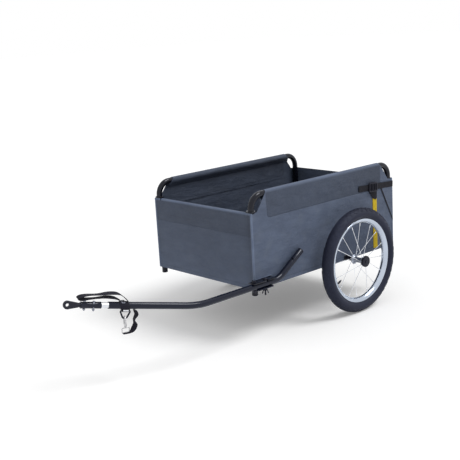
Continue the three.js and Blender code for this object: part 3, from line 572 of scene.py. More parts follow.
def select_faces(piece, wanted):
    """In edit mode, selects the faces that wanted(face) names and no others."""
    bpy.ops.mesh.select_all(action="DESELECT")
    bpy.ops.mesh.select_mode(type="FACE")
    bpy.ops.object.mode_set(mode="OBJECT")
    for face in piece.data.polygons:
        face.select = wanted(face)
    bpy.ops.object.mode_set(mode="EDIT")


def grid_cloth(columns, rows, spot, wall, drop=None):
    """A grid whose corners are put where spot(u, v) says, u and v from 0 to 1, less the faces that
    drop(u, v) names, thickened to the cloth's wall. Gives the piece and its flat area."""
    bare_scene()
    bpy.ops.mesh.primitive_grid_add(x_subdivisions=columns, y_subdivisions=rows, size=1)
    piece = bpy.context.object

    def drop_faces():
        select_faces(piece, lambda face: drop(face.center.x + 0.5, face.center.y + 0.5))
        bpy.ops.mesh.delete(type="FACE")
        bpy.ops.mesh.select_mode(type="VERT")

    if drop:
        edited(piece, drop_faces)
    for vertex in piece.data.vertices:
        vertex.co = spot(vertex.co.x + 0.5, vertex.co.y + 0.5)
    piece.data.update()
    area = sum(face.area for face in piece.data.polygons)
    edited(piece, lambda: bpy.ops.mesh.normals_make_consistent(inside=False))
    modified(piece, "SOLIDIFY", thickness=wall, offset=0)
    return piece, area


def stations(*runs):
    """Places along a path, from runs of start, end and count."""
    spots = []
    for begin, end, count in runs:
        spots += [begin + (end - begin) * k / count for k in range(count)]
    return spots + [runs[-1][1]]


def crease(distance, width):
    """1 on a line and 0 further from it than width."""
    return max(0.0, 1 - abs(distance) / width) ** 2


panel_low, panel_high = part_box("left_side_panel")
cloth_wall = 0.0012
cloth_x = panel_high.x - cloth_wall / 2 - 0.0001
panel_long = (panel_high.y - panel_low.y) / 2
shoulder_long = 0.364
top_long = 0.312
hem_z = panel_low.z
shoulder_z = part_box("front_panel")[1].z
sewn_z = 0.436
flap_z = 0.427
sewn_long = 0.316
round_radius = rail_radius + 0.0003 + cloth_wall / 2
turns = [math.radians(225) * k / 16 for k in range(17)]
notch_high = hem_z + 0.037
notch_back = -0.304
flap_round = 0.014
hem_tall = 0.014
stitch_half = 0.0016


def on_seam(distance):
    """1 on a line of stitches and 0 beside it, from a Value of the distance to it."""
    return 1 - (distance.size() * (1 / stitch_half)).smaller(1.0)


def facing(cloth, axis, sign=1.0):
    """1 where the cloth faces up an axis and 0 where it faces down it. A sign of -1 turns it round."""
    normal = cloth.along(cloth.node("NewGeometry", out="Normal"))[axis]
    return (normal * sign).step(-0.15, 0.15)


def side_seams_and_shading(cloth, x, y, z):
    """The doubled cloth under the rail is darker, with round corners. Painted shade darkens the
    cloth towards the rear, and painted light makes the top of the rail lighter.
    """
    away_y = ((y - tub_y).size() - (sewn_long - flap_round)).larger(0.0)
    away_z = (sewn_z + flap_round - z).larger(0.0)
    reach = (away_y * away_y + away_z * away_z) ** 0.5
    doubled = 1 - reach.step(flap_round - 0.0008, flap_round + 0.0008)
    # Painted light: the top of the rail, which faces up, is drawn lighter.
    painted_light_on_top = z.step(rail_top_z + 0.001, rail_top_z + 0.010)
    # Painted shade: the cloth grows a little darker towards the rear.
    painted_shade_rearward = (y - tub_y).step(-0.3, 0.38) * 0.06
    edge = on_seam(reach - flap_round)
    hem = on_seam(z - hem_z - hem_tall)
    which_side = x.step(-0.01, 0.01) * 2 - 1
    inside = 1 - facing(cloth, 0, which_side)
    # Painted shade: the doubled band grows darker still towards the rear.
    wear_and_painted_shade = (y - tub_y).step(0.0, 0.38) * 0.08
    shade = ((0.28 + doubled * (wear_and_painted_shade + 0.34) + painted_shade_rearward) * (1 - painted_light_on_top * 0.85)).larger(inside * 0.62)
    return shade, edge.larger(hem)


side_cloth = coated_cloth("grey_side_cloth", 1, 2, 1.55, side_seams_and_shading)
side_path = [(cloth_x, z) for z in stations(
    (hem_z, hem_z + 0.012, 4),
    (hem_z + 0.012, notch_high, 5),
    (notch_high, sewn_z - 0.004, 24),
    (sewn_z - 0.004, sewn_z + 0.004, 8),
    (sewn_z + 0.004, shoulder_z - 0.0002, 6),
    (shoulder_z, rail_top_z - 0.008, 12),
)]
side_path += [
    (leg_x + round_radius * math.cos(turn), rail_top_z + round_radius * math.sin(turn)) for turn in turns
]
flap_x = cloth_x - cloth_wall - 0.0002
low_x, low_z = side_path[-1]
side_path += [(low_x + (flap_x - low_x) * k / 6, low_z - (flap_x - low_x) * k / 6) for k in range(1, 7)]
side_path += [(flap_x, z) for z in stations((side_path[-1][1] - 0.01, flap_z, 8))]
flat_rows = sum(1 for x, z in side_path if x == cloth_x)


def reach_at(z, row):
    """Half the side cloth's length at a height."""
    if row >= flat_rows and z < shoulder_z:
        return sewn_long + (shoulder_long - sewn_long) * max(0.0, (z - sewn_z) / (shoulder_z - sewn_z))
    if z < shoulder_z:
        return panel_long
    share = (z - shoulder_z) / (panel_high.z - shoulder_z)
    return shoulder_long + (top_long - shoulder_long) * min(share, 1.0)


def side_spot(side):
    def spot(u, v):
        row = round(v * (len(side_path) - 1))
        x, z = side_path[row]
        reach = reach_at(z, row)
        y = (2 * u - 1) * reach
        if row < flat_rows:
            free = min(1.0, max(0.0, (z - hem_z) / 0.06)) * min(1.0, max(0.0, (rail_top_z - z) / 0.05))
            ends = min(1.0, (panel_long - abs(y)) / 0.03)
            ends *= min(1.0, max(0.0, (0.25 - y) / 0.1))
            ripple = noise.noise(Vector((y * 9, z * 14, 3.1 + side)))
            pucker = noise.noise(Vector((y * 36 + z * 14, z * 8, 7.7 + side))) * crease(z - 0.475, 0.06)
            fold = crease(z - 0.338 - 0.03 * y, 0.02)
            sag = 0.0016 * math.sin(math.pi * (z - hem_z) / (rail_top_z - hem_z))
            x += free * ends * (0.0015 * ripple + 0.0034 * pucker + sag - 0.0011 * fold)
            x -= 0.0007 * crease(z - sewn_z, stitch_half) * (abs(y) < sewn_long)
            x -= 0.0007 * crease(z - hem_z - hem_tall, stitch_half)
            x -= 0.0006 * crease(abs(y) - reach + 0.011, 0.0022) * (z < shoulder_z)
            if z > shoulder_z:
                x -= 0.0006 * crease(abs(y) - reach + 0.009, 0.003)
            if sewn_z < z < sewn_z + 0.028:
                x -= 0.0006 * crease(abs(y) - sewn_long, 0.0022)
        else:
            x += 0.0004 * noise.noise(Vector((y * 30, z * 60, side)))
        return place(side * x, y, z)

    return spot


for side, name in ((1, "left"), (-1, "right")):
    rows = len(side_path) - 1
    notch_row = min(k for k, (x, z) in enumerate(side_path) if z >= notch_high - 0.0001)

    def in_notch(u, v):
        return v * rows < notch_row and (2 * u - 1) * panel_long < notch_back

    panel, area = grid_cloth(220, rows, side_spot(side), cloth_wall, in_notch if side == 1 else None)
    finished(
        panel, name + "_side_cloth", side_cloth, "frame", name + "_side_panel", slot="grey_cloth", smooth=40
    )
    name + "_side_frame"


# The front cloth goes up from the hem, over the crossbar between the legs and down inside, where
# it is sewn. Its corners stand flat behind the legs' collars, and a piping closes each side, made
# lighter with painted light.
front_low, front_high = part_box("front_panel")
front_y = front_low.y - tub_y + cloth_wall / 2 + 0.0001
front_wide = front_high.x
hook_wide = 0.2306
front_seam_z = front_high.z - 0.082
front_round = crossbar_radius + 0.0003 + cloth_wall / 2
front_path = [(front_y, z) for z in stations(
    (hem_z, hem_z + 0.012, 4),
    (hem_z + 0.012, front_seam_z - 0.004, 22),
    (front_seam_z - 0.004, front_seam_z + 0.004, 8),
    (front_seam_z + 0.004, crossbar_z, 12),
)]
front_rows = len(front_path)
front_turns = [math.radians(220) * k / 14 for k in range(1, 15)]
front_path += [
    (crossbar_y - front_round * math.cos(turn), crossbar_z + front_round * math.sin(turn))
    for turn in front_turns
]
front_flap_y = front_y + cloth_wall + 0.0002
low_y, low_z = front_path[-1]
front_path += [
    (low_y + (front_flap_y - low_y) * k / 5, low_z - 0.018 * k / 5) for k in range(1, 6)
]
front_path += [(front_flap_y, z) for z in stations((front_path[-1][1] - 0.006, front_seam_z - 0.006, 6))]
corner_rows = 3
corner_cut = 0.2515


def front_seams_and_shading(cloth, x, y, z):
    """The doubled cloth under the crossbar is darker. Painted shade darkens the cloth upwards and
    towards its left end, and painted light makes its turned top edge lighter.
    """
    doubled = z.step(front_seam_z - 0.004, front_seam_z + 0.004)
    # Painted light: the cloth is drawn lighter low down, where light comes up from the floor.
    painted_shade_upwards = z.step(hem_z, front_seam_z) * 0.16
    # Painted light: the turned top edge, which faces up, is drawn lighter.
    hem = z.step(front_high.z - 0.009, front_high.z - 0.004)
    # Painted shade: the cloth is darker towards its left end.
    corner = (x * (1 / front_wide)).step(0.84, 0.99) * 0.12
    upper = on_seam(z - front_seam_z - 0.024) * 0.4
    lower = on_seam(z - front_seam_z) * 0.5
    hem_line = on_seam(z - hem_z - hem_tall) * 0.7
    sides = on_seam(x.size() - front_wide + 0.016) * 0.7
    shade = (0.38 + painted_shade_upwards + doubled * 0.11 + corner) * (1 - hem)
    seam = lower.larger(upper).larger(hem_line).larger(sides)
    inside = facing(cloth, 1)
    return shade.larger(inside * 0.66), seam


def front_spot(u, v):
    row = round(v * (len(front_path) - 1))
    y, z = front_path[row]
    x = (2 * u - 1) * front_wide
    if row < front_rows:
        free = min(1.0, max(0.0, (z - hem_z) / 0.05)) * min(1.0, max(0.0, (crossbar_z - z) / 0.05))
        ends = min(1.0, (front_wide - abs(x)) / 0.05)
        ripple = noise.noise(Vector((x * 8, z * 11, 11.3)))
        y -= free * ends * (0.0012 * ripple + 0.0012 * math.sin(math.pi * (z - hem_z) / (crossbar_z - hem_z)))
        y += 0.0007 * crease(z - front_seam_z, stitch_half)
        y += 0.0007 * crease(z - hem_z - hem_tall, stitch_half)
    elif abs(x) > hook_wide:
        y = front_y
        z = crossbar_z + (shoulder_z - crossbar_z) * min(1.0, (row - front_rows + 1) / corner_rows)
    return place(x, y, z)


def beside_hook(u, v):
    if abs(2 * u - 1) * front_wide < hook_wide:
        return False
    row = v * (len(front_path) - 1)
    above_notch = front_path[min(int(row) + 1, front_rows)][1] >= notch_high
    if (2 * u - 1) * front_wide > corner_cut and not above_notch:
        return True
    beside = abs(2 * u - 1) * front_wide < hook_wide + 0.002
    return row > front_rows - 1 and (beside or row > front_rows - 1 + corner_rows)


front_cloth = coated_cloth("grey_front_cloth", 0, 2, 1.6, front_seams_and_shading)
panel, area = grid_cloth(264, len(front_path) - 1, front_spot, cloth_wall, beside_hook)
finished(panel, "front_cloth", front_cloth, "frame", "front_panel", slot="grey_cloth", smooth=40)


# Piping: a cord of coated cloth sewn into each upright corner seam, front and rear, and a thin one
# round the edge of the notch that the side cloth has over the drawbar's bracket. Its tone, lighter
# than the panels', is painted light on the rounded corners.
piping_cloth = coated_cloth("grey_piping", 0, 2, 1.7)
piping_radius = 0.0042
for side, name in ((1, "left"), (-1, "right")):
    for end, corner in ((-1, "front"), (1, "rear")):
        foot_z = notch_high if side == 1 and end == -1 else hem_z + 0.001
        x = side * (front_wide - piping_radius * 0.55)
        y = end * (abs(front_y) + cloth_wall / 2 - piping_radius * 0.55)
        ends = [place(x, y, foot_z), place(x, y, shoulder_z - 0.001)]
        cord = bent_tube(ends, [], piping_radius, piping_radius * 0.9, 20)
        body = "frame" if end == -1 else "tailgate"
        finished(cord, name + "_" + corner + "_piping", piping_cloth, body, slot="grey_cloth", smooth=60)
edge_x = cloth_x + 0.0004
cord = bent_tube(
    [
        place(edge_x, -0.388, notch_high), place(edge_x, notch_back, notch_high),
        place(edge_x, notch_back, hem_z),
    ],
    [0.006], 0.0015, 0.0013, 14,
)
finished(cord, "notch_piping", piping_cloth, "frame", slot="grey_cloth", smooth=60)


# The rear panel is the flap for loading: the same cloth over a stiff sheet, hinged at its bottom
# edge, with a folded hem all round. Its ears lie on the side cloth, bound in black tape.
rear_cloth = coated_cloth("grey_rear_cloth", 0, 2, 0.95)
rear_low, rear_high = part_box("rear_panel")
rear_y = rear_high.y - tub_y - cloth_wall / 2 - 0.0001
rear_wide = rear_high.x
hem = 0.016


def rear_spot(u, v):
    x = (2 * u - 1) * (rear_wide - 0.0002)
    z = rear_low.z + (rear_high.z - rear_low.z) * v
    y = rear_y + 0.0008 * noise.noise(Vector((x * 7, z * 9, 21.0)))
    inner = min(rear_wide - abs(x), z - rear_low.z, rear_high.z - z)
    y -= 0.0007 * crease(inner - hem, 0.0022)
    y -= 0.0007 * crease(inner - 0.004, 0.0022)
    return place(x, y, z)


panel, area = grid_cloth(176, 92, rear_spot, cloth_wall)
finished(panel, "rear_cloth", rear_cloth, "tailgate", "rear_panel", slot="grey_cloth", smooth=40)
tape = Finish("black_binding_tape")
ribs = tape.along(tape.spot())[2]
tape.set(
    Base_Color=tape.mix(tape.noise(80, 4), (0.008, 0.008, 0.012), (0.016, 0.016, 0.022)),
    Roughness=0.75 + tape.noise(300, 2) * 0.1,
    Specular_IOR_Level=0.2,
    Normal=tape.relief((ribs * 5200).sine() * 0.5 + 0.5, 0.0002),
)
tape_width = 0.007
tape_wall = 0.0015
tape_under = 0.0007
for side, name in ((1, "left"), (-1, "right")):
    ear_low, ear_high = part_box(name + "_ear")
    ear_x = side * ((abs(ear_low.x) + abs(ear_high.x)) / 2)
    near_y, far_y = ear_low.y - tub_y, ear_high.y - tub_y
    bottom_z = ear_low.z
    tip_z = ear_high.z - 0.008

    def ear_spot(u, v):
        top = tip_z + (ear_high.z - tip_z) * u
        low = tip_z + (bottom_z - tip_z) * u
        y = near_y + (far_y - near_y) * u
        z = low + (top - low) * v
        x = ear_x + side * 0.0002 * noise.noise(Vector((y * 60, z * 60, 5.0)))
        return place(x, y, z)

    ear, area = grid_cloth(30, 40, ear_spot, cloth_wall)
    finished(ear, name + "_ear_cloth", side_cloth, "tailgate", name + "_ear", slot="grey_cloth")
    name + "_side_panel"
    ear_tip = place(ear_x - side * tape_under, near_y, tip_z)
    ear_foot = place(ear_x - side * tape_under, far_y, bottom_z)
    slope = (ear_foot - ear_tip).normalized()
    inward_way = Vector((0, slope.z, -slope.y)) * (-1 if slope.z < 0 else 1)
    edge = [
        ear_tip,
        ear_foot,
        ear_foot + up * (tape_width * 1.4),
        ear_tip + slope * 0.004 + inward_way * tape_width,
    ]
    binding = plate(edge, to_left * (side * tape_wall), 0.0003)
    finished(binding, name + "_ear_binding", tape, "tailgate", name + "_ear", slot="black_webbing")


# Two yellow straps of 25 mm webbing are sewn down the rear ends of the side cloth. Webbing is woven
# in ribs across it, with a firm rounded edge; it is drawn along its middle line, ribs along its UV.
def ribbed_webbing(name, dark, light, width, length, rib=0.0016):
    webbing = Finish(name)
    across, along, flat = webbing.along(webbing.spot("UV"))
    chevron = (across * (width / 0.006 * math.pi)).sine().size() * 0.5
    ribs = (along * (length / rib * math.tau) + chevron * 3).sine() * 0.5 + 0.5
    columns = (across * (width / 0.0021) * math.tau).sine() * 0.5 + 0.5
    wear_and_painted_shade = webbing.noise(40, 5).step(0.45, 0.8)
    webbing.set(
        Base_Color=webbing.mix(ribs * 0.5 + columns * 0.2 + wear_and_painted_shade * 0.3, dark, light),
        Roughness=0.7 + wear_and_painted_shade * 0.15,
        Specular_IOR_Level=0.2,
        Normal=webbing.relief(ribs * 0.7 + columns * 0.3, 0.0004),
    )
    return webbing


def smooth_line(points, count):
    """Places along a curve that passes through the points."""
    spots = []
    for k in range(count + 1):
        reach = (len(points) - 1) * k / count
        part = min(int(reach), len(points) - 2)
        t = reach - part
        a, b, c, d = (points[min(max(part + j, 0), len(points) - 1)] for j in (-1, 0, 1, 2))
        spots.append(
            b + (c - a) * (t / 2) + (a * 2 - b * 5 + c * 4 - d) * (t * t / 2)
            + (b * 3 - a - c * 3 + d) * (t ** 3 / 2)
        )
    return spots


def heading(spots, row):
    """The way a line of places goes at one of them."""
    return (spots[min(row + 1, len(spots) - 1)] - spots[max(row - 1, 0)]).normalized()


def webbing_along(spots, across, width, wall, columns=8):
    """A strip of webbing on a line of places, across giving its width's direction at each. Its
    edges are drawn in a little, so that they round off."""
    rows = len(spots) - 1

    def spot(u, v):
        row = round(v * rows)
        side = across(row) if callable(across) else across
        bulge = heading(spots, row).cross(side) * (0.0002 * math.sin(60 * v) * (1 - abs(2 * u - 1)))
        return spots[row] + side * ((u - 0.5) * width) + bulge

    strip, area = grid_cloth(columns, rows, spot, wall)
    modified(strip, "BEVEL", width=wall * 0.3, segments=2, limit_method="ANGLE", angle_limit=1.0)
    return strip, area


def other_side(piece, paint, name, body, *nodes, slot=None):
    """The same piece on the trailer's other side, turned over in its middle plane."""
    copy = piece.copy()
    copy.data = piece.data.copy()
    copy.pop("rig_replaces", None)
    bpy.context.collection.objects.link(copy)
    copy.data.transform(Matrix.Scale(-1, 4, (1, 0, 0)))
    copy.data.flip_normals()
    return finished(copy, name, paint, body, *nodes, slot=slot)


yellow_low, yellow_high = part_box("left_yellow_strap")
yellow_width = yellow_high.y - yellow_low.y
yellow_long = yellow_high.z - yellow_low.z
yellow_wall = 0.0013
yellow_web = ribbed_webbing(
    "yellow_webbing", (0.48, 0.33, 0.012), (0.74, 0.55, 0.03), yellow_width, yellow_long
)
yellow_x = (yellow_low.x + yellow_high.x) / 2
yellow_y = (yellow_low.y + yellow_high.y) / 2
yellow_spots = []
for k in range(61):
    z = yellow_low.z + yellow_long * k / 60
    stitched = crease(z - yellow_low.z - 0.012, 0.003) + crease(yellow_high.z - z - 0.012, 0.003)
    yellow_spots.append(Vector((yellow_x - 0.0003 * stitched, yellow_y, z)))
strap, area = webbing_along(yellow_spots, Vector((0, 1, 0)), yellow_width, yellow_wall)
finished(strap, "left_yellow_webbing", yellow_web, "frame", "left_yellow_strap", slot="yellow_webbing")
strap = other_side(
    strap, yellow_web, "right_yellow_webbing", "frame", "right_yellow_strap", slot="yellow_webbing"
)


# The rear panel is drawn shut by a black webbing strap at each side, sewn to it at the corner and
# run through a ladder buckle on the side cloth. A short end hangs down from the buckle, cut askew.
buckle_low, buckle_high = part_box("left_buckle")
rear_strap_low, rear_strap_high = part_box("left_rear_strap")
strap_x = (rear_strap_low.x + rear_strap_high.x) / 2
strap_width = 0.023
strap_wall = 0.0016
strap_long = rear_strap_high.y - rear_strap_low.y
strap_tilt = math.radians(3)
strap_rear_y = 0.3914
strap_rear_z = shoulder_z - 0.0235
strap_back = Vector((0, math.cos(strap_tilt), -math.sin(strap_tilt)))
strap_up = Vector((0, math.sin(strap_tilt), math.cos(strap_tilt)))
web_dark = (0.007, 0.007, 0.011)
web_light = (0.018, 0.018, 0.025)
black_web = ribbed_webbing("black_webbing", web_dark, web_light, strap_width, strap_long)
strap_spots = []
strap_rear = place(strap_x, strap_rear_y, strap_rear_z)
for k in range(85):
    ahead = strap_long * k / 84
    wave = Vector((0.0003 * math.sin(ahead * 90), 0, 0))
    strap_spots.append(strap_rear - strap_back * ahead + wave)
strap, area = webbing_along(strap_spots, -strap_up, strap_width, strap_wall, 10)
finished(strap, "left_rear_webbing", black_web, "tailgate", "left_rear_strap", slot="black_webbing")
tail_corners = [(0.2425, 0.433), (0.2650, 0.402), (0.2835, 0.394), (0.2895, 0.401), (0.2895, 0.433)]
tail = plate(
    [place(strap_x - 0.0008, y, z) for y, z in tail_corners], Vector((strap_wall, 0, 0)), 0.0003
)
end_web = Finish("black_webbing_end")
across, along, up_along = end_web.along(end_web.spot())
rib_pitch = 0.0016
chevron_pitch = 0.012
chevron = (along * (math.tau / chevron_pitch)).sine() * 2
ribs = (up_along * (math.tau / rib_pitch) + chevron).sine() * 0.5 + 0.5
end_web.set(
    Base_Color=end_web.mix(ribs, web_dark, web_light),
    Roughness=0.7 + end_web.noise(60) * 0.2,
    Specular_IOR_Level=0.2,
    Normal=end_web.relief(ribs, 0.0004),
)
finished(tail, "left_strap_end", end_web, "tailgate", "left_rear_strap", slot="black_webbing")


def rounded_outline(middle, one_way, other_way, half_one, half_other, corner, steps):
    """A rectangle's outline about its middle, with round corners."""
    outline = []
    for sign_one, sign_other, begin in ((1, 1, 0), (-1, 1, 90), (-1, -1, 180), (1, -1, 270)):
        for k in range(steps + 1):
            turn = math.radians(begin + 90 * k / steps)
            outline.append(
                middle + one_way * (sign_one * (half_one - corner) + corner * math.cos(turn))
                + other_way * (sign_other * (half_other - corner) + corner * math.sin(turn))
            )
    return outline


def joined(parts):
    bare_scene()
    for part in parts:
        part.select_set(True)
    bpy.context.view_layer.objects.active = parts[0]
    bpy.ops.object.join()
    return bpy.context.object


buckle_thick = buckle_high.x - buckle_low.x
buckle_spot = (buckle_low + buckle_high) / 2 - to_left * (buckle_thick / 2)
buckle_half = 0.0245
buckle_tall = 0.018
buckle_corner = 0.005
buckle_outline = rounded_outline(
    buckle_spot, strap_back, strap_up, buckle_half, buckle_tall, buckle_corner, 4
)
buckle = plate(buckle_outline, to_left * (buckle_thick * 0.8))
outer_slot_half = 0.0032
inner_slot_half = 0.0024
buckle_slots = (
    (-0.0160, outer_slot_half), (-0.0055, inner_slot_half),
    (0.0055, inner_slot_half), (0.0160, outer_slot_half),
)
for y, half in buckle_slots:
    bare_scene()
    slot_spot = buckle_spot + strap_back * y
    bpy.ops.mesh.primitive_cube_add(size=1, location=slot_spot, rotation=(-strap_tilt, 0, 0))
    slot_tool = bpy.context.object
    slot_tool.scale = (0.05, half * 2, strap_width + 0.003)
    cut(buckle, slot_tool)
modified(buckle, "BEVEL", width=0.0007, segments=2, limit_method="ANGLE", angle_limit=0.6)
buckle_black = moulded_black("buckle_plastic", 1800)
finished(buckle, "left_buckle_frame", buckle_black, "tailgate", "left_buckle", slot="black_plastic")
bar_half = 0.0145
bars = []
for y in (-0.0108, 0.0, 0.0108):
    bar_foot = buckle_spot + to_left * (buckle_thick - 0.002) + strap_back * y - strap_up * bar_half
    bars.append(turned(
        [(0, 0), (0.0016, 0), (0.0019, 0.002), (0.0019, 0.027), (0.0016, 0.029), (0, 0.029)],
        bar_foot, strap_up, 16,
    ))
ladder = joined(bars)
finished(ladder, "left_buckle_bars", buckle_black, "tailgate", "left_buckle", slot="black_plastic")
for piece, paint, name, node, slot in (
    (strap, black_web, "right_rear_webbing", "right_rear_strap", "black_webbing"),
    (tail, end_web, "right_strap_end", "right_rear_strap", "black_webbing"),
    (buckle, buckle_black, "right_buckle_frame", "right_buckle", "black_plastic"),
    (ladder, buckle_black, "right_buckle_bars", "right_buckle", "black_plastic"),
):
    copy = other_side(piece, paint, name, "tailgate", node, slot=slot)


# Axle sockets: turned and painted steel, with a small flange on the side cloth, a sleeve through the
# bottom rail and a nose that reaches out to the hub.
socket_low, socket_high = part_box("left_axle_socket")
flange_x = 0.2643
flange_thick = 0.003
socket_radius_out = (socket_high.z - socket_low.z) / 2
nose_radius = 0.0083
socket_bore = 0.0063
axle_spot = Vector((0, tub_y + axle_y, axle_z))
flange_out = flange_x + flange_thick
socket = turned(
    [
        (socket_bore, socket_low.x), (socket_radius, socket_low.x), (socket_radius, flange_x),
        (socket_radius_out - 0.0008, flange_x), (socket_radius_out, flange_x + 0.0008),
        (socket_radius_out, flange_out - 0.001), (socket_radius_out - 0.001, flange_out),
        (nose_radius + 0.0018, flange_out), (nose_radius + 0.0005, flange_out + 0.0007),
        (nose_radius, flange_out + 0.002), (nose_radius, socket_high.x - 0.0012),
        (nose_radius - 0.0012, socket_high.x), (socket_bore, socket_high.x),
    ],
    axle_spot, to_left, 48,
)
finished(socket, "left_axle_socket_steel", black_paint, "frame", "left_axle_socket", slot="black_paint")
other_side(socket, black_paint, "right_axle_socket_steel", "frame", "right_axle_socket", slot="black_paint")


# Quick-release axle: a plated pin with a ball groove at its inner end, a black moulded knob with a
# fluted grip on its outer end, and a push button in the knob's face.
plated = Finish("plated_steel")
brushed = plated.noise(60, 4, plated.node("Mapping", {}, {"Vector": plated.spot(), "Scale": (1, 1, 12)}))
stains = plated.noise(18, 6).step(0.5, 0.8)
plated.set(
    Base_Color=plated.mix(stains, (0.78, 0.80, 0.84), (0.60, 0.62, 0.66)),
    Metallic=1.0,
    Roughness=0.22 + brushed * 0.12 + stains * 0.1,
    Normal=plated.relief(brushed, 0.00008),
)
pin_low, pin_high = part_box("left_axle_pin")
pin_radius = (pin_high.z - pin_low.z) / 2
pin_tip = pin_low.x
pin = turned(
    [
        (0, pin_tip), (pin_radius * 0.7, pin_tip), (pin_radius * 0.8, pin_tip + 0.002),
        (pin_radius * 0.8, pin_tip + 0.005), (pin_radius, pin_tip + 0.0065), (pin_radius, pin_tip + 0.012),
        (pin_radius * 0.93, pin_tip + 0.013), (pin_radius * 0.93, pin_tip + 0.015),
        (pin_radius, pin_tip + 0.016), (pin_radius, pin_high.x - 0.0004), (pin_radius - 0.0004, pin_high.x),
        (0, pin_high.x),
    ],
    axle_spot, to_left, 40,
)
finished(pin, "left_axle_pin_steel", plated, "frame", "left_axle_pin", slot="plated_steel")
knob_low, knob_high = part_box("left_axle_knob")
knob_radius = (knob_high.z - knob_low.z) / 2
button_low, button_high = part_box("left_release_button")
button_radius = (button_high.z - button_low.z) / 2
recess = button_radius + 0.0003
knob_floor = button_low.x - 0.0033
knob_socket = pin_high.x + 0.0003
flutes = 28
flute_deep = 0.0007
knob_face = knob_high.x
knob = turned(
    [
        (socket_bore, knob_low.x), (knob_radius - 0.0015, knob_low.x),
        (knob_radius - 0.0002, knob_low.x + 0.0012), (knob_radius - 0.0002, knob_face - 0.0026),
        (knob_radius - 0.0012, knob_face - 0.0009), (knob_radius - 0.0032, knob_face),
        (knob_radius - 0.0048, knob_face), (knob_radius - 0.0056, knob_face - 0.0007),
        (knob_radius - 0.0072, knob_face - 0.0007), (knob_radius - 0.0080, knob_face),
        (recess + 0.0006, knob_face), (recess, knob_face - 0.0006), (recess, knob_floor), (0, knob_floor),
        (0, knob_socket), (socket_bore, knob_socket),
    ],
    axle_spot, to_left, flutes * 4,
)
for vertex in knob.data.vertices:
    away = vertex.co - axle_spot
    radius = math.hypot(away.y, away.z)
    turn = round(math.atan2(away.z, away.y) / math.tau * flutes * 4) % 4
    if radius > knob_radius - 0.002 and turn == 0:
        vertex.co -= Vector((0, away.y, away.z)) / radius * flute_deep
knob_black = moulded_black("knob_plastic", 1600)
finished(knob, "left_knob_grip", knob_black, "frame", "left_axle_knob", slot="black_plastic")
face = button_high.x
button = turned(
    [
        (0, button_low.x), (button_radius - 0.0002, button_low.x), (button_radius, button_low.x + 0.0002),
        (button_radius, face - 0.0008), (button_radius - 0.0006, face), (button_radius - 0.0018, face),
        (button_radius - 0.0034, face - 0.0005), (0, face - 0.0008),
    ],
    axle_spot, to_left, 40,
)
finished(button, "left_button_cap", knob_black, "left_button", "left_release_button", slot="black_plastic")
for piece, paint, name, body, node, slot in (
    (pin, plated, "right_axle_pin_steel", "frame", "right_axle_pin", "plated_steel"),
    (knob, knob_black, "right_knob_grip", "frame", "right_axle_knob", "black_plastic"),
    (button, knob_black, "right_button_cap", "right_button", "right_release_button", "black_plastic"),
):
    other_side(piece, paint, name, body, node, slot=slot)


# Wheels of 400 mm: a black rubber tyre with moulded tread blocks and plain sides, drawn in to its
# beads. The tread is raised out of the spun carcass, block by block.
wheel_low, wheel_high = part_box("left_tyre")
wheel_x = (wheel_low.x + wheel_high.x) / 2
wheel_spot = Vector((wheel_x, tub_y + axle_y, axle_z))
tyre_radius = (wheel_high.z - wheel_low.z) / 2
tyre_half = (wheel_high.x - wheel_low.x) / 2
section = tyre_radius - tyre_half
tread_deep = 0.0014
seat = 0.1603
bead_half = 0.013
bead_radius = 0.1625
bead_bulge = 0.0012
neck_radius = 0.1650
neck_bulge = 0.0046
tyre_wall = 0.003
tread_bands = 13
tread_turn = math.radians(58)
side_radius = tyre_half - 0.0002
side_turns = [math.radians(66 + 7.5 * k) for k in range(5)]


def on_section(turn, radius):
    """A point of the tyre's round section, at a turn from its middle plane."""
    return section + radius * math.cos(turn), radius * math.sin(turn)


carcass = [(seat, -bead_half), (bead_radius, -bead_half - bead_bulge), (neck_radius, -bead_half - neck_bulge)]
carcass += [on_section(-turn, side_radius) for turn in reversed(side_turns)]
for k in range(tread_bands + 1):
    carcass.append(on_section(tread_turn * (2 * k / tread_bands - 1), tyre_half - tread_deep))
carcass += [on_section(turn, side_radius) for turn in side_turns]
carcass += [(neck_radius, bead_half + neck_bulge), (bead_radius, bead_half + bead_bulge), (seat, bead_half)]
carcass += [(seat, bead_half - tyre_wall)]
carcass += [on_section(math.radians(100 - 25 * k), tyre_half - tyre_wall) for k in range(9)]
carcass += [(seat, -bead_half + tyre_wall)]
tread_steps = 168
tyre = turned(carcass, wheel_spot, to_left, tread_steps)


def is_block(face):
    away = face.center - wheel_spot
    radius = math.hypot(away.y, away.z)
    lean = math.atan2(away.x, radius - section)
    if abs(lean) > tread_turn or radius < section:
        return False
    if math.hypot(away.x, radius - section) < tyre_half - 0.0025:
        return False
    band = int((lean / tread_turn + 1) / 2 * tread_bands)
    step = int((math.atan2(away.z, away.y) / math.tau + 0.5) * tread_steps)
    centre = abs(band - tread_bands // 2)
    if centre == 0:
        return step % 6 != 0
    if centre in (2, 4):
        return (step + centre) % 3 != 0
    if centre == 6:
        return step % 4 < 2
    return (step + band) % 6 == 3


def raise_blocks():
    select_faces(tyre, is_block)
    bpy.ops.mesh.extrude_region_shrink_fatten(TRANSFORM_OT_shrink_fatten={"value": tread_deep})
    bpy.ops.mesh.select_mode(type="VERT")


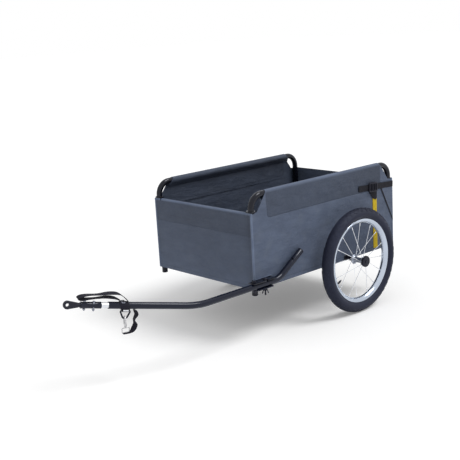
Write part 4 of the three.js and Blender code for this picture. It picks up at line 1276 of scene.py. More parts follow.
edited(tyre, raise_blocks)
rubber = Finish("tyre_rubber")
grime = rubber.noise(30, 8)
fine = rubber.noise(700, 3)
dusty = rubber.noise(7, 6).step(0.45, 0.75)
rubber.set(
    Base_Color=rubber.mix(dusty * 0.6 + grime * 0.3, (0.010, 0.011, 0.023), (0.034, 0.041, 0.072)),
    Roughness=0.5 + grime * 0.2,
    Specular_IOR_Level=0.3,
    Specular_Tint=(0.75, 0.82, 1.0),
    Normal=rubber.relief(fine, 0.0002),
)
finished(tyre, "left_tyre_rubber", rubber, "left_wheel", "left_tyre", slot="tyre", smooth=35)
other_side(tyre, rubber, "right_tyre_rubber", "right_wheel", "right_tyre", slot="tyre")


# The rim is a rolled channel of polished aluminium with turned brake faces, and a valve stands in
# it between two spokes.
rim_low, rim_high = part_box("left_rim")
rim_radius = (rim_high.z - rim_low.z) / 2
rim_half = (rim_high.x - rim_low.x) / 2
outer_line = [
    (rim_radius - 0.0005, rim_half), (rim_radius - 0.0052, rim_half),
    (rim_radius - 0.0058, rim_half - 0.0005), (rim_radius - 0.0085, rim_half - 0.0013),
    (rim_radius - 0.0118, rim_half - 0.0040), (rim_radius - 0.0146, rim_half - 0.0072),
    (rim_radius - 0.0163, rim_half - 0.0103), (rim_radius - 0.0170, 0.0018),
]
inner_line = [
    (rim_radius, rim_half - 0.0005), (rim_radius, rim_half - 0.0025),
    (rim_radius - 0.0060, rim_half - 0.0025), (rim_radius - 0.0098, rim_half - 0.0046),
    (rim_radius - 0.0126, rim_half - 0.0078), (rim_radius - 0.0138, 0.0025),
]
rim_profile = outer_line + [(r, -x) for r, x in reversed(outer_line)]
rim_profile += [(r, -x) for r, x in inner_line] + list(reversed(inner_line))
rim = turned(rim_profile, wheel_spot, to_left, 160)
polished = Finish("polished_rim")
turn_marks = polished.noise(420, 2)
haze = polished.noise(12, 6)
polished.set(
    Base_Color=polished.mix(haze, (0.58, 0.64, 0.74), (0.40, 0.45, 0.54)),
    Metallic=1.0,
    Roughness=0.09 + haze * 0.12,
    Normal=polished.relief(turn_marks, 0.00004),
)
finished(rim, "left_rim_channel", polished, "left_wheel", "left_rim", slot="rim", smooth=28)
other_side(rim, polished, "right_rim_channel", "right_wheel", "right_rim", slot="rim")
valve_turn = math.radians(207)
valve_root = 0.1185
valve_way = Vector((0, math.cos(valve_turn), math.sin(valve_turn)))
valve = turned(
    [
        (0, 0), (0.0021, 0), (0.0021, 0.0055), (0.0037, 0.0062), (0.0037, 0.0165), (0.0030, 0.0185),
        (0.0030, 0.0265), (0.0034, 0.0270), (0.0034, 0.0285), (0, 0.0285),
    ],
    wheel_spot + valve_way * valve_root, valve_way, 20,
)
finished(valve, "left_valve", black_plastic, "left_wheel", slot="black_plastic")
other_side(valve, black_plastic, "right_valve", "right_wheel", slot="black_plastic")


# Each hub is a plated shell with two flanges. Sixteen plated spokes go to the rim, by turns from one
# flange and the other, each with a bent head in its flange and a nipple at the rim.
wheel_steel = Finish("wheel_steel")
x, y, z = wheel_steel.along(wheel_steel.spot())
from_axle = ((y - wheel_spot.y) * (y - wheel_spot.y) + (z - wheel_spot.z) * (z - wheel_spot.z)) ** 0.5
shell_share = 1 - from_axle.step(0.017, 0.022)
drawn = wheel_steel.noise(60, 4)
wheel_steel.set(
    Base_Color=wheel_steel.mix(shell_share, (0.84, 0.86, 0.90), (0.34, 0.37, 0.44)),
    Metallic=1.0,
    Roughness=0.2 + drawn * 0.12 + shell_share * 0.08,
    Normal=wheel_steel.relief(drawn, 0.00008),
)
hub_half = 0.028
hub_waist = 0.010
hub_flange = 0.018
hub_bore = 0.0086
flange_at = 0.022
half_line = [
    (hub_waist, 0.004), (hub_waist + 0.0003, 0.012), (hub_waist + 0.0014, 0.0175),
    (hub_waist + 0.004, 0.0200), (hub_flange - 0.0007, 0.0205), (hub_flange, 0.0212),
    (hub_flange, 0.0228), (hub_flange - 0.0007, 0.0235), (hub_waist + 0.003, 0.0235),
    (hub_waist, 0.0245), (hub_waist, hub_half - 0.0008), (hub_waist - 0.0008, hub_half),
    (hub_bore, hub_half),
]
hub_parts = [turned(half_line + [(r, -x) for r, x in reversed(half_line)], wheel_spot, to_left, 64)]
spoke_count = 16
first_spoke = math.radians(16.4)
spoke_lean = math.radians(23)
spoke_root = hub_flange - 0.003
spoke_reach = 0.1414
spoke_radius = 0.0010
nipple_radius = 0.0018
flange_bend = 0.0026
rim_stagger = 0.003


def on_wheel(across, radius, turn):
    return wheel_spot + Vector((across, radius * math.cos(turn), radius * math.sin(turn)))


for k in range(spoke_count):
    side = -1 if k % 2 else 1
    turn = first_spoke + math.tau * k / spoke_count
    begin = on_wheel(side * flange_at, spoke_root, turn + side * spoke_lean)
    end = on_wheel(side * rim_stagger, spoke_reach, turn)
    bend = begin + to_left * (side * (flange_bend if k % 4 < 2 else -flange_bend))
    length = (end - bend).length
    spoke = turned(
        [
            (0, 0), (spoke_radius, 0), (spoke_radius, length - 0.012), (nipple_radius, length - 0.0112),
            (nipple_radius, length - 0.0006), (0, length),
        ],
        bend, end - bend, 10,
    )
    head = turned(
        [(0, -0.0006), (spoke_radius, -0.0006), (spoke_radius, 0.0022), (0, 0.0026)],
        begin + (bend - begin) * 0.3, bend - begin, 10,
    )
    cap = turned(
        [(0, 0.0014), (0.0017, 0.0014), (0.0018, 0.0022), (0.0010, 0.0030), (0, 0.0032)],
        begin, begin - bend, 10,
    )
    hub_parts += [spoke, head, cap]
hub = joined(hub_parts)
finished(hub, "left_hub_and_spokes", wheel_steel, "left_wheel", "left_spoked_hub", slot="plated_steel")
other_side(hub, wheel_steel, "right_hub_and_spokes", "right_wheel", "right_spoked_hub", slot="plated_steel")
bush_bore = 0.0063
bush_radius = 0.0083
bush = sleeve(bush_bore, bush_radius, -hub_half, hub_half, wheel_spot, to_left, 40, 0.0003)
nylon = Finish("white_nylon")
clouds = nylon.noise(90, 4)
nylon.set(
    Base_Color=nylon.mix(clouds, (0.62, 0.61, 0.57), (0.72, 0.71, 0.68)),
    Roughness=0.4 + clouds * 0.15,
)
finished(bush, "left_bush_nylon", nylon, "left_wheel", "left_hub_bush", slot="nylon")
other_side(bush, nylon, "right_bush_nylon", "right_wheel", "right_hub_bush", slot="nylon")


# The drawbar's bracket is a steel angle on the left bottom rail: a flat plate drilled for the pivot
# bolt, with a curved slot for the lock bolt open at its edge, and a web down the rail's side.
bracket_low, bracket_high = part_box("hitch_bracket")
bracket_plate = 0.004
bracket_z = bracket_high.z - bracket_plate
bar_x = 0.279
pivot_y = -0.407
lock_reach = 0.052
slot_half = 0.0033
step_y = -0.3899
edge_x = bracket_high.x
web_x = bracket_low.x
front_y_edge = bracket_low.y - tub_y
rear_y_edge = bracket_high.y - tub_y
inner_x = 0.2646
slot_near = lock_reach - slot_half
slot_far = lock_reach + slot_half
near_turn = math.acos((edge_x - bar_x) / slot_near)
far_turn = math.acos((edge_x - bar_x) / slot_far)
bracket_corner = 0.004
bolt_hole = 0.0043
flat = [
    (inner_x, front_y_edge), (edge_x - bracket_corner, front_y_edge),
    (edge_x, front_y_edge + bracket_corner),
]
for k in range(7):
    turn = near_turn + (math.pi / 2 - near_turn) * k / 6
    flat.append((bar_x + slot_near * math.cos(turn), pivot_y + slot_near * math.sin(turn)))
for k in range(1, 8):
    turn = math.radians(270 - 180 * k / 8)
    flat.append((bar_x + slot_half * math.cos(turn), pivot_y + lock_reach + slot_half * math.sin(turn)))
for k in range(7):
    turn = math.pi / 2 + (far_turn - math.pi / 2) * k / 6
    flat.append((bar_x + slot_far * math.cos(turn), pivot_y + slot_far * math.sin(turn)))
flat += [
    (edge_x, rear_y_edge - bracket_corner), (edge_x - bracket_corner, rear_y_edge),
    (web_x, rear_y_edge), (web_x, step_y), (inner_x, step_y),
]
bracket = plate([place(x, y, bracket_z) for x, y in flat], up * bracket_plate)
drilled(bracket, bolt_hole, place(bar_x, pivot_y, bracket_z), sides=40)
modified(bracket, "BEVEL", width=0.0005, segments=2, limit_method="ANGLE", angle_limit=0.9)
finished(bracket, "bracket_plate", black_paint, "frame", "hitch_bracket", slot="black_paint")
web_thick = 0.003
web_top = bracket_z + 0.002
web = [
    (step_y, web_top), (step_y, bracket_low.z + 0.006), (step_y + 0.006, bracket_low.z),
    (rear_y_edge - 0.010, bracket_low.z), (rear_y_edge, bracket_low.z + 0.010), (rear_y_edge, web_top),
]
web_plate = plate([place(web_x, y, z) for y, z in web], to_left * web_thick, 0.0005)
finished(web_plate, "bracket_web", black_paint, "frame", "hitch_bracket", slot="black_paint")
screw_z = 0.2095
screws = []
for screw_y in (-0.372, -0.334):
    screws.append(turned(
        [
            (0, 0), (0.0052, 0), (0.0052, 0.0008), (0.0044, 0.0026), (0.0028, 0.0034), (0.0024, 0.0024),
            (0, 0.0024),
        ],
        place(web_x + web_thick, screw_y, screw_z), to_left, 24,
    ))
finished(joined(screws), "bracket_screws", plated, "frame", slot="plated_steel")


# The pivot bolt is a blackened hexagon bolt with a washer face, a thread and a lock nut with its
# collar, which stays fixed in the bracket while the bar turns on it.
def hexagon(middle, axis, width, height):
    """A bolt head or nut: a hexagon with its corners turned off at both ends. It is drawn past the
    shape that it is cut to at both ends, because with end faces in one plane the cut can fail."""
    axis = axis.normalized()
    corner = width / math.sqrt(3)
    overrun = height * 0.1
    bare_scene()
    bpy.ops.mesh.primitive_circle_add(
        vertices=6, radius=corner, fill_type="NGON", location=middle - axis * overrun,
        rotation=axis.to_track_quat("Z", "Y").to_euler(),
    )
    head = bpy.context.object

    def draw():
        bpy.ops.mesh.extrude_region_move(TRANSFORM_OT_translate={"value": axis * (height + 2 * overrun)})

    edited(head, draw, outward)
    bpy.ops.object.transform_apply(location=True, rotation=True, scale=True)
    flat = width / 2 * 0.96
    wide = corner * 1.01
    chamfer = turned(
        [(0, 0), (flat, 0), (wide, height * 0.14), (wide, height * 0.86), (flat, height), (0, height)],
        middle, axis, 36,
    )
    modified(head, "BOOLEAN", operation="INTERSECT", solver="EXACT", object=chamfer)
    bpy.data.objects.remove(chamfer)
    return head


def threaded(radius, begin, length, axis, pitch=0.001, smooth_length=0.0):
    """A shank, plain first and then cut with ring grooves as close as a thread's."""
    profile = [(0, 0), (radius, 0), (radius, smooth_length)]
    here = smooth_length
    while here + pitch < length:
        profile += [(radius, here + pitch * 0.2), (radius * 0.91, here + pitch * 0.6), (radius, here + pitch)]
        here += pitch
    profile += [(radius * 0.88, length), (0, length)]
    return turned(profile, begin, axis, 24)


bolt_low, bolt_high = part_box("pivot_bolt")
head_spot = place(bar_x, pivot_y, bolt_high.z - 0.0055)
nut_spot = place(bar_x, pivot_y, 0.1892)
hexagon_wide = 0.013
pivot = joined([
    hexagon(head_spot + up * 0.0006, up, hexagon_wide, 0.0049),
    turned([(0, 0), (0.0072, 0), (0.0072, 0.0006), (0, 0.0006)], head_spot, up, 32),
    hexagon(nut_spot + up * 0.0022, up, hexagon_wide, 0.0068),
    turned([(0, 0), (0.0048, 0), (0.0058, 0.0006), (0.0062, 0.0022), (0, 0.0022)], nut_spot, up, 32),
    threaded(0.004, head_spot + up * 0.001, head_spot.z + 0.001 - bolt_low.z, -up, 0.00125, 0.030),
])
black_steel = Finish("blackened_steel")
oily = black_steel.noise(130, 4)
black_steel.set(
    Base_Color=black_steel.mix(oily, (0.007, 0.007, 0.012), (0.018, 0.018, 0.027)),
    Roughness=0.3 + oily * 0.2,
    Specular_IOR_Level=0.3,
    Specular_Tint=(0.78, 0.82, 1.0),
    Normal=black_steel.relief(oily, 0.0002),
)
finished(pivot, "pivot_bolt_and_nut", black_steel, "frame", "pivot_bolt", slot="black_paint")


# The drawbar is one steel tube of 23 mm, bent at both ends of its middle run: the tail rises behind
# the pivot and the front run climbs inwards to the hitch. It is drilled for its two bolts, and once
# more across its tail.
bar_radius = 0.0115
bar_wall = 0.002
bar_z = 0.210
tail_turn = math.radians(33)
tail_way = Vector((0, math.cos(tail_turn), math.sin(tail_turn)))
rear_bend = place(bar_x, -0.288, bar_z)
tail_tip = rear_bend + tail_way * 0.142
front_bend = place(bar_x, -0.665, bar_z)
inward = math.radians(17.4)
climb = math.radians(11.2)
run_way = Vector((-math.sin(inward) * math.cos(climb), -math.cos(inward) * math.cos(climb), math.sin(climb)))
run_side = Vector((math.cos(inward), -math.sin(inward), 0))
run_up = run_way.cross(run_side).normalized()
run_length = 0.3075
tail_bend = 0.092
run_bend = 0.260
lock_y = pivot_y + lock_reach
lock_hole = 0.0033
tail_hole = 0.0034
tail_hole_at = 0.092
bar = bent_tube(
    [tail_tip, rear_bend, front_bend, front_bend + run_way * run_length],
    [tail_bend, run_bend], bar_radius, bar_wall, 40, 18,
)
drilled(bar, bolt_hole, place(bar_x, pivot_y, bar_z))
drilled(bar, lock_hole, place(bar_x, lock_y, bar_z))
drill_way = (to_left - tail_way.cross(to_left) * 1.6).normalized()
drilled(bar, tail_hole, rear_bend + tail_way * tail_hole_at, drill_way.to_track_quat("Z", "Y").to_euler())
bar_paint = gloss_black("drawbar_paint", (0.005, 0.007, 0.017), (0.012, 0.016, 0.032))
finished(bar, "drawbar_tube", bar_paint, "drawbar", "drawbar", slot="black_paint", smooth=40)
cap = turned(
    [
        (0, -0.012), (0.0086, -0.012), (0.0092, -0.0114), (0.0092, 0.0003), (bar_radius, 0.0003),
        (bar_radius, 0.0018), (bar_radius - 0.0005, 0.0027), (bar_radius - 0.0018, 0.0033), (0, 0.0033),
    ],
    tail_tip, tail_way, 40,
)
finished(cap, "drawbar_end_cap", black_plastic, "drawbar", "drawbar_cap", slot="black_plastic")


# Under the bar sits a clamp plate, and the lock bolt goes down through the bracket's slot, the bar
# and the plate. Its round head rests on the bracket, and a cast wing nut is turned up from below.
clamp_low, clamp_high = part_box("clamp_plate")
clamp_corner = 0.004
clamp_half = (clamp_high - clamp_low) / 2
clamp_foot = (clamp_low + clamp_high) / 2 - up * clamp_half.z
to_rear = Vector((0, 1, 0))
clamp = plate(
    rounded_outline(clamp_foot, to_left, to_rear, clamp_half.x, clamp_half.y, clamp_corner, 3),
    up * (2 * clamp_half.z),
)
drilled(clamp, lock_hole, place(bar_x, lock_y, clamp_low.z))
modified(clamp, "BEVEL", width=0.0006, segments=2, limit_method="ANGLE", angle_limit=0.9)
finished(clamp, "clamp_plate_steel", bar_paint, "drawbar", "clamp_plate", slot="black_paint")
lock_low, lock_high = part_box("lock_bolt")
lock_seat = place(bar_x, lock_y, lock_high.z - 0.004)
lock = joined([
    turned(
        [
            (0, 0), (0.0080, 0), (0.0080, 0.0006), (0.0074, 0.0020), (0.0056, 0.0034), (0.0030, 0.0040),
            (0, 0.0040),
        ],
        lock_seat, up, 40,
    ),
    threaded(0.003, lock_seat + up * 0.001, lock_seat.z + 0.001 - lock_low.z, -up, 0.001, 0.026),
])
finished(lock, "lock_bolt_steel", black_steel, "drawbar", "lock_bolt", slot="black_paint")
wing_spot = place(bar_x, lock_y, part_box("wing_nut")[1].z)
wing_thick = 0.0038
wing_turn = math.radians(47)
wing_outline = [
    (0.0038, -0.0034), (0.0060, -0.0030), (0.0086, -0.0078), (0.0108, -0.0128), (0.0122, -0.0162),
    (0.0124, -0.0186), (0.0112, -0.0198), (0.0092, -0.0196), (0.0080, -0.0180), (0.0073, -0.0150),
    (0.0064, -0.0112), (0.0052, -0.0090), (0.0038, -0.0088),
]
wings = [turned(
    [
        (0.0033, -0.009), (0.0056, -0.009), (0.0060, -0.0085), (0.0060, -0.0015), (0.0056, -0.0004),
        (0.0050, 0), (0.0033, 0),
    ],
    wing_spot, up, 40,
)]
for side in (1, -1):
    wings.append(plate(
        [wing_spot + Vector((side * x, -wing_thick / 2, z)) for x, z in wing_outline],
        to_rear * wing_thick, 0.0011, 3,
    ))
wing_nut = joined(wings)
wing_nut.data.transform(
    Matrix.Translation(wing_spot) @ Matrix.Rotation(wing_turn, 4, "Z") @ Matrix.Translation(-wing_spot)
)
finished(wing_nut, "wing_nut_casting", black_steel, "wing_nut", "wing_nut", slot="black_paint")


# The hitch is drawn along the bar's front run: its bend is the origin, and places are given as
# sideways, along and up. A plated spigot stands in the bar's end, grooved for the sleeve's bolt.
def on_run(side, along, above):
    return front_bend + run_side * side + run_way * along + run_up * above


sleeve_start = 0.331
sleeve_end = 0.398
rear_bolt_at = 0.3566
front_bolt_at = 0.3846
spigot_radius = 0.0092
spigot_rear = 0.2475
spigot_front = 0.366
groove_radius = 0.0039
groove_rear = 0.3516
groove_front = 0.3616
spigot = turned(
    [
        (0, spigot_rear), (spigot_radius - 0.001, spigot_rear), (spigot_radius, spigot_rear + 0.001),
        (spigot_radius, groove_rear), (groove_radius, groove_rear), (groove_radius, groove_front),
        (spigot_radius, groove_front), (spigot_radius, spigot_front - 0.0006),
        (spigot_radius - 0.0006, spigot_front), (0, spigot_front),
    ],
    on_run(0, 0, 0), run_way, 48,
)
finished(spigot, "spigot_steel", plated, "drawbar", "spigot", slot="plated_steel")


# The hitch sleeve turns on the spigot: a painted tube with a rolled lip at its open end, crossed by
# the two bolts. The eye before it is a flat forged drop of steel on a round shank, rounded all over.
def cross_hole(piece, side, along, radius):
    drilled(piece, radius, on_run(side, along, 0), run_up.to_track_quat("Z", "Y").to_euler())


sleeve_radius = 0.011
lip_deep = 0.0003
sleeve_bore = 0.0095
shank_bore = 0.0073
bore_step = 0.3717
cross_radius = 0.0028
rear_bolt_side = 0.0067
shell = turned(
    [
        (sleeve_bore, sleeve_start), (sleeve_radius - 0.0006, sleeve_start),
        (sleeve_radius, sleeve_start + 0.0006), (sleeve_radius, sleeve_start + 0.003),
        (sleeve_radius - lip_deep, sleeve_start + 0.0036), (sleeve_radius - lip_deep, sleeve_end - 0.004),
        (sleeve_radius, sleeve_end - 0.0034), (sleeve_radius, sleeve_end - 0.001),
        (sleeve_radius - 0.001, sleeve_end), (shank_bore, sleeve_end), (shank_bore, bore_step),
        (sleeve_bore, bore_step),
    ],
    on_run(0, 0, 0), run_way, 48,
)
cross_hole(shell, rear_bolt_side, rear_bolt_at, cross_radius)
cross_hole(shell, 0, front_bolt_at, cross_radius)
finished(shell, "hitch_sleeve_tube", bar_paint, "hitch", "hitch_sleeve", slot="black_paint", smooth=35)
eye_at = 0.4385
eye_radius = 0.0135
eye_half = 0.0045
eye_bore = 0.00525
eye_root = 0.404
shank_radius = 0.007
spread = math.asin((eye_radius - shank_radius) / (eye_at - eye_root))
eye_outline = []
for k in range(33):
    turn = math.pi / 2 - spread + (math.pi + 2 * spread) * k / 32
    eye_outline.append(on_run(-eye_half, eye_at - eye_radius * math.cos(turn), eye_radius * math.sin(turn)))
for sign in (-1, 1):
    root_at = eye_root - shank_radius * math.sin(spread)
    eye_outline.append(on_run(-eye_half, root_at, sign * shank_radius * math.cos(spread)))
eye_plate = plate(eye_outline, run_side * (2 * eye_half))
drilled(eye_plate, eye_bore, on_run(0, eye_at, 0), run_side.to_track_quat("Z", "Y").to_euler(), 48)
modified(eye_plate, "BEVEL", width=0.0014, segments=3, limit_method="ANGLE", angle_limit=0.6)
shank = turned(
    [
        (0, 0.372), (0.0066, 0.372), (shank_radius, 0.3724), (shank_radius, 0.4030), (0.0066, 0.4070),
        (0.0058, 0.4120), (0.0048, 0.4180), (0.0040, 0.4215), (0, 0.4225),
    ],
    on_run(0, 0, 0), run_way, 40,
)
cross_hole(shank, 0, front_bolt_at, cross_radius)
modified(eye_plate, "BOOLEAN", operation="UNION", solver="EXACT", object=shank)
bpy.data.objects.remove(shank)
forged = Finish("forged_black_steel")
scale_marks = forged.noise(260, 5)
forged.set(
    Base_Color=forged.mix(scale_marks, (0.006, 0.006, 0.011), (0.017, 0.017, 0.025)),
    Roughness=0.28 + scale_marks * 0.25,
    Specular_IOR_Level=0.25,
    Specular_Tint=(0.75, 0.8, 1.0),
    Coat_Weight=0.15,
    Normal=forged.relief(scale_marks, 0.0004),
)
finished(eye_plate, "hitch_eye_forging", forged, "hitch", "hitch_eye", slot="black_paint", smooth=35)
zinc = Finish("dull_zinc")
blooms = zinc.noise(220, 5)
zinc.set(
    Base_Color=zinc.mix(blooms, (0.20, 0.22, 0.28), (0.42, 0.44, 0.50)),
    Metallic=1.0,
    Roughness=0.3 + blooms * 0.25,
    Normal=zinc.relief(blooms, 0.0002),
)
seat_up = sleeve_radius + 0.0003
bolt_end = 0.0178
nut_tall = 0.0032
for name, side, along in (
    ("rear_hitch_bolt", rear_bolt_side, rear_bolt_at), ("front_hitch_bolt", 0, front_bolt_at),
):
    head_seat = on_run(side, along, seat_up)
    nut_seat = on_run(side, along, -seat_up)
    bolt = joined([
        hexagon(head_seat, run_up, 0.008, 0.0035),
        hexagon(nut_seat, -run_up, 0.008, nut_tall),
        turned(
            [(0, 0), (0.0040, 0), (0.0037, 0.0006), (0.0034, 0.0008), (0, 0.0008)],
            nut_seat - run_up * nut_tall, -run_up, 24,
        ),
        threaded(0.0025, head_seat + run_up * 0.001, seat_up + 0.001 + bolt_end, -run_up, 0.0008, 0.019),
    ])
    finished(bolt, name + "_steel", zinc, "hitch", name, slot="plated_steel")


# The safety strap is black webbing of 20 mm. It is wound slantwise round the bar and held there by
# a bright slider, and a small loop sewn under it carries the ring.
wrap_middle = 0.254
wrap_wide = 0.031
web_wall = 0.0018
wrap_radius = bar_radius + 0.0004 + web_wall / 2
wrap_ribbed = 0.085


def safety_webbing(name, width, length):
    return ribbed_webbing(name, (0.006, 0.006, 0.012), (0.018, 0.018, 0.030), width, length)


def round_run(middle, radius, turn):
    """A place at a turn round a line that lies along the bar's front run."""
    return middle + run_up * (radius * math.cos(turn)) + run_side * (radius * math.sin(turn))


wrap_web = safety_webbing("wrap_webbing", wrap_wide, wrap_ribbed)


def wrap_spot(u, v):
    turn = math.tau * v
    slant = 0.0045 * math.cos(turn - math.radians(25))
    ends = 0.0003 * math.sin(turn * 3)
    radius = wrap_radius + 0.0002 * math.sin(turn * 5 + u * 4)
    middle = on_run(0, wrap_middle + (u - 0.5) * wrap_wide + slant + ends, 0)
    return round_run(middle, radius, turn)


wrap, area = grid_cloth(16, 72, wrap_spot, web_wall)
edited(wrap, lambda: bpy.ops.mesh.remove_doubles(threshold=0.00002))
finished(wrap, "strap_wrap_webbing", wrap_web, "safety_strap", "strap_wrap", slot="black_webbing", smooth=40)
hanger_z = -0.0169
hanger_at = 0.249
hanger_bore = 0.0032
hanger_wall = 0.0016
hanger_wide = 0.021
hanger_round = 0.026
ring_foot_z = hanger_z - 0.024
plumb_way = Vector((-math.sin(inward), -math.cos(inward), 0))


def on_hook(side, along, above):
    """Places on the hook, which hangs plumb from the foot of its ring."""
    foot = on_run(0, hanger_at, ring_foot_z)
    return foot + run_side * side + plumb_way * (along - hanger_at) + up * (above - ring_foot_z)


def hanger_spot(u, v):
    middle = on_run(0, hanger_at + (u - 0.5) * hanger_wide, hanger_z)
    return round_run(middle, hanger_bore + hanger_wall / 2 + 0.0001, math.tau * v)


hanger_web = safety_webbing("hanger_webbing", hanger_wide, hanger_round)
hanger, area = grid_cloth(12, 28, hanger_spot, hanger_wall)
edited(hanger, lambda: bpy.ops.mesh.remove_doubles(threshold=0.00002))
finished(
    hanger, "strap_hanger_webbing", hanger_web, "safety_strap", "strap_wrap", slot="black_webbing", smooth=40
)
crimp_wide = 0.018
crimp_wall = 0.0008


def crimp_spot(u, v):
    middle = on_run(0, hanger_at + (u - 0.5) * crimp_wide, hanger_z)
    return round_run(middle, hanger_bore + hanger_wall + crimp_wall, math.radians(20 + 85 * v))


crimp, area = grid_cloth(12, 12, crimp_spot, crimp_wall)
modified(crimp, "BEVEL", width=0.0002, segments=2, limit_method="ANGLE", angle_limit=0.9)
finished(crimp, "hanger_crimp", plated, "safety_strap", slot="plated_steel", smooth=40)
slider_turn = math.radians(24)
slider_out = run_up * math.cos(slider_turn) + run_side * math.sin(slider_turn)
slider_side = run_side * math.cos(slider_turn) - run_up * math.sin(slider_turn)
slider_middle = on_run(0, 0.262, 0) + slider_out * (wrap_radius + web_wall / 2 + 0.0002)
slider_half_long = 0.0057
slider_half_wide = 0.0075
slider_corner = 0.0015
slider_thick = 0.0018
slider_outline = rounded_outline(
    slider_middle, run_way, slider_side, slider_half_long, slider_half_wide, slider_corner, 3
)
slider = plate(slider_outline, slider_out * slider_thick)
bare_scene()
bpy.ops.mesh.primitive_cube_add(size=1)
tool = bpy.context.object
tool.data.transform(Matrix.Diagonal((0.0062, 0.0100, 0.02, 1)))
slider_turned = Matrix((run_way, slider_side, slider_out)).transposed().to_4x4()
tool.matrix_world = Matrix.Translation(slider_middle) @ slider_turned
bpy.ops.object.transform_apply(location=True, rotation=True, scale=True)
cut(slider, tool)
modified(slider, "BEVEL", width=0.0004, segments=3, limit_method="ANGLE", angle_limit=0.6)
finished(slider, "wrap_slider", zinc, "safety_strap", slot="plated_steel")


# The spare webbing is folded forward in loops that spring up over the hitch, and another run goes
# down to the snap hook. Both are drawn along their own curved middle lines.
strap_seat = bar_radius + 0.0003
bulge = bar_radius * 2.2
loop_low = strap_seat + 0.0033
loop_rear = wrap_middle - 0.009
loop_tip = front_bolt_at + 0.0235
loop_span = loop_tip - loop_rear
loop_rows = 220
loop_shares = [
    (0, 0), (0.1, 0.55), (0.22, 0.9), (0.4, 0.92), (0.6, 0.75), (0.8, 0.68), (0.94, 0.5), (1, 0.25),
    (0.93, 0.12), (0.8, 0.2), (0.62, 0.32), (0.44, 0.44), (0.28, 0.36), (0.16, 0.08),
]
loop_points = [
    on_run(0, loop_rear + loop_span * along, loop_low + bulge * above) for along, above in loop_shares
]
loop_spots = smooth_line(loop_points, loop_rows)
loop_long = sum((b - a).length for a, b in zip(loop_spots, loop_spots[1:]))
web_width = 0.020
drawn_width = web_width - 0.001
loop_web = safety_webbing("loop_webbing", web_width, loop_long)


def leant(ahead, lean):
    """The direction of the webbing's width, leaned over from the bar's side."""
    return (run_side * math.cos(lean) + ahead.cross(run_side) * math.sin(lean)).normalized()


def loop_across(row):
    """The webbing sags to the outer side and twists a little as it goes."""
    share = row / loop_rows
    ahead = heading(loop_spots, row)
    lean = (0.14 * math.sin(share * 23) - 0.16 * ahead.dot(run_way)) * min(1.0, share * 6)
    return leant(ahead, lean)


loops, area = webbing_along(loop_spots, loop_across, drawn_width, web_wall)
finished(
    loops, "strap_loops_webbing", loop_web, "safety_strap", "strap_loops", slot="black_webbing", smooth=40
)
eye_foot_z = -0.08947
eye_top_z = -0.07247
tail_at = wrap_middle - 0.039
tail_top_z = -strap_seat - 0.001
tail_foot_z = eye_foot_z - 0.0013
tail_deep = tail_top_z - tail_foot_z
tail_rows = 140
tail_points = [
    on_run(0, tail_at + 0.004, tail_top_z),
    on_run(0, tail_at - 0.004, tail_top_z - tail_deep * 0.2),
    on_run(0, tail_at + 0.002, tail_top_z - tail_deep * 0.42),
    on_run(0, tail_at - 0.004, tail_top_z - tail_deep * 0.62),
    on_run(0, tail_at + 0.002, tail_top_z - tail_deep * 0.84),
    on_hook(0, hanger_at - 0.0135, tail_foot_z),
    on_hook(0, hanger_at + 0.0105, tail_foot_z),
]
tail_spots = smooth_line(tail_points, tail_rows)
tail_run = sum((b - a).length for a, b in zip(tail_spots, tail_spots[1:]))
tail_web = safety_webbing("tail_webbing", web_width, tail_run)


def tail_across(row):
    """The webbing turns its face outwards twice on its way down."""
    share = row / tail_rows
    turned_out = 1 - math.cos(math.tau * (share - 0.33) / 0.55)
    lean = -0.36 * turned_out * math.sin(math.pi * min(1.0, share * 1.2)) ** 0.5
    return leant(heading(tail_spots, row), lean)


tail_strip, area = webbing_along(tail_spots, tail_across, drawn_width, web_wall)
finished(
    tail_strip, "strap_tail_webbing", tail_web, "safety_strap", "strap_tail", slot="black_webbing", smooth=40
)


# The ring is a black steel wire bent to four sides and welded, wide at the top where the loop of
# webbing holds it, and narrow at its foot.
def wire_loop(corners, radius, bend, sides=14):
    """A closed wire: drawn round its corners from the middle of its first side."""
    begin = (corners[0] + corners[1]) / 2
    path = [begin] + corners[1:] + [corners[0], begin]
    return bent_tube(path, [bend] * (len(path) - 2), radius, radius * 0.9, sides, 6)


ring_top_half = 0.018
ring_foot_half = 0.0065
ring_wire = 0.0029
ring_bend = 0.0042
ring = wire_loop(
    [
        on_run(0, hanger_at - ring_top_half, hanger_z), on_run(0, hanger_at + ring_top_half, hanger_z),
        on_run(0, hanger_at + ring_foot_half, ring_foot_z),
        on_run(0, hanger_at - ring_foot_half, ring_foot_z),
    ],
    ring_wire, ring_bend,
)
finished(ring, "strap_ring_wire", bar_paint, "safety_strap", "strap_ring", slot="black_paint", smooth=50)


# The snap hook is bright die-cast metal: a slotted plate hung on the ring's foot with an open mouth
# at its side, a swivel stem, and a square wire eye for the webbing. Its gate is sprung shut.
hook_half = 0.0095
limb = 0.004
hook_slot_half = hook_half - limb
slot_top_z = -0.03747
slot_foot_z = -0.05847
hook_foot_z = -0.06547
hook_thick = 0.005
hook_back = hanger_at - hook_thick / 2
mouth_low = -0.05877
mouth_high = -0.04297
mouth_near = hook_slot_half - 0.0003
mouth_far = hook_half + 0.01


def rounded_plate(half, top, foot):
    """The hook's outline: round at its top, with its two lower corners cut off."""
    points = []
    for k in range(17):
        turn = math.pi * k / 16
        points.append(on_hook(half * math.cos(turn), hook_back, top - half + half * math.sin(turn)))
    low_corners = (
        (-half, foot + half * 0.25), (-half * 0.75, foot), (half * 0.75, foot), (half, foot + half * 0.25),
    )
    return points + [on_hook(side, hook_back, above) for side, above in low_corners]


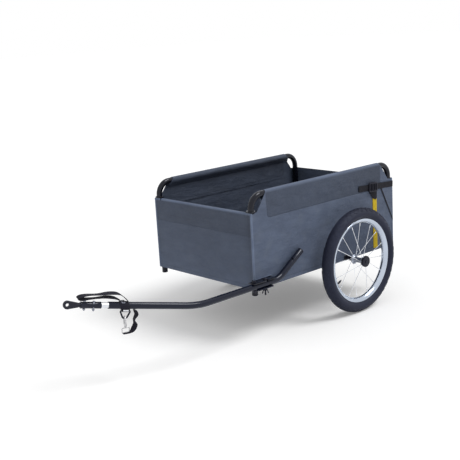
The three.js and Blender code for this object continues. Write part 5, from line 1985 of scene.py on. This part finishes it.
hook = plate(rounded_plate(hook_half, slot_top_z + limb, hook_foot_z), plumb_way * hook_thick)
before_hook = plumb_way * 0.01
through_hook = plumb_way * 0.03
hole = plate(
    [spot - before_hook for spot in rounded_plate(hook_slot_half, slot_top_z, slot_foot_z)], through_hook
)
cut(hook, hole)
mouth_corners = (
    (mouth_near, mouth_low), (mouth_far, mouth_low), (mouth_far, mouth_high), (mouth_near, mouth_high),
)
mouth = plate([on_hook(side, hanger_at, above) - before_hook for side, above in mouth_corners], through_hook)
cut(hook, mouth)
modified(hook, "BEVEL", width=0.0009, segments=3, limit_method="ANGLE", angle_limit=0.6)
stem = turned(
    [
        (0, 0), (0.0028, 0), (0.0030, 0.0012), (0.0030, 0.0032), (0.0040, 0.0040), (0.0040, 0.0052),
        (0.0032, 0.0062), (0.0030, 0.0100), (0, 0.0110),
    ],
    on_hook(0, hanger_at, eye_top_z - 0.0015), up, 28,
)
eye_wire = 0.0014
wire_half = 0.0121
wire_top_z = eye_top_z - eye_wire
wire_foot_z = eye_foot_z + eye_wire
square = wire_loop(
    [
        on_hook(0, hanger_at - wire_half, wire_top_z), on_hook(0, hanger_at + wire_half, wire_top_z),
        on_hook(0, hanger_at + wire_half, wire_foot_z), on_hook(0, hanger_at - wire_half, wire_foot_z),
    ],
    eye_wire, 0.0030,
)
hook_whole = joined([hook, stem, square])
cast = Finish("plated_casting")
cast_grain = cast.noise(500, 4)
cast.set(
    Base_Color=cast.mix(cast_grain, (0.46, 0.46, 0.47), (0.60, 0.60, 0.62)),
    Metallic=1.0,
    Roughness=0.32 + cast_grain * 0.2,
    Normal=cast.relief(cast_grain, 0.0003),
)
finished(hook_whole, "snap_hook_casting", cast, "safety_strap", "snap_hook", slot="plated_steel", smooth=35)
gate_half = 0.0017
gate_x = hook_half - limb / 2
gate_thick = 0.0044
gate_back = hanger_at - gate_thick / 2
gate_round_z = mouth_low + gate_half + 0.0003
gate_shoulder_z = mouth_low + 0.0127
gate_tip_z = mouth_low + 0.0135
gate_bevel = 0.0006
gate_outline = []
for k in range(9):
    turn = math.pi * (1 + k / 8)
    gate_outline.append(on_hook(
        gate_x + gate_half * math.cos(turn), gate_back, gate_round_z + gate_half * math.sin(turn)
    ))
gate_outline += [
    on_hook(gate_x + gate_half, gate_back, gate_shoulder_z),
    on_hook(gate_x + gate_half - gate_bevel, gate_back, gate_tip_z),
    on_hook(gate_x - gate_half + gate_bevel, gate_back, gate_tip_z),
    on_hook(gate_x - gate_half, gate_back, gate_shoulder_z),
]
gate = plate(gate_outline, plumb_way * gate_thick, 0.0005, 2)
finished(gate, "hook_gate_casting", cast, "hook_gate", "hook_gate", slot="plated_steel", smooth=35)

low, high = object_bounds()
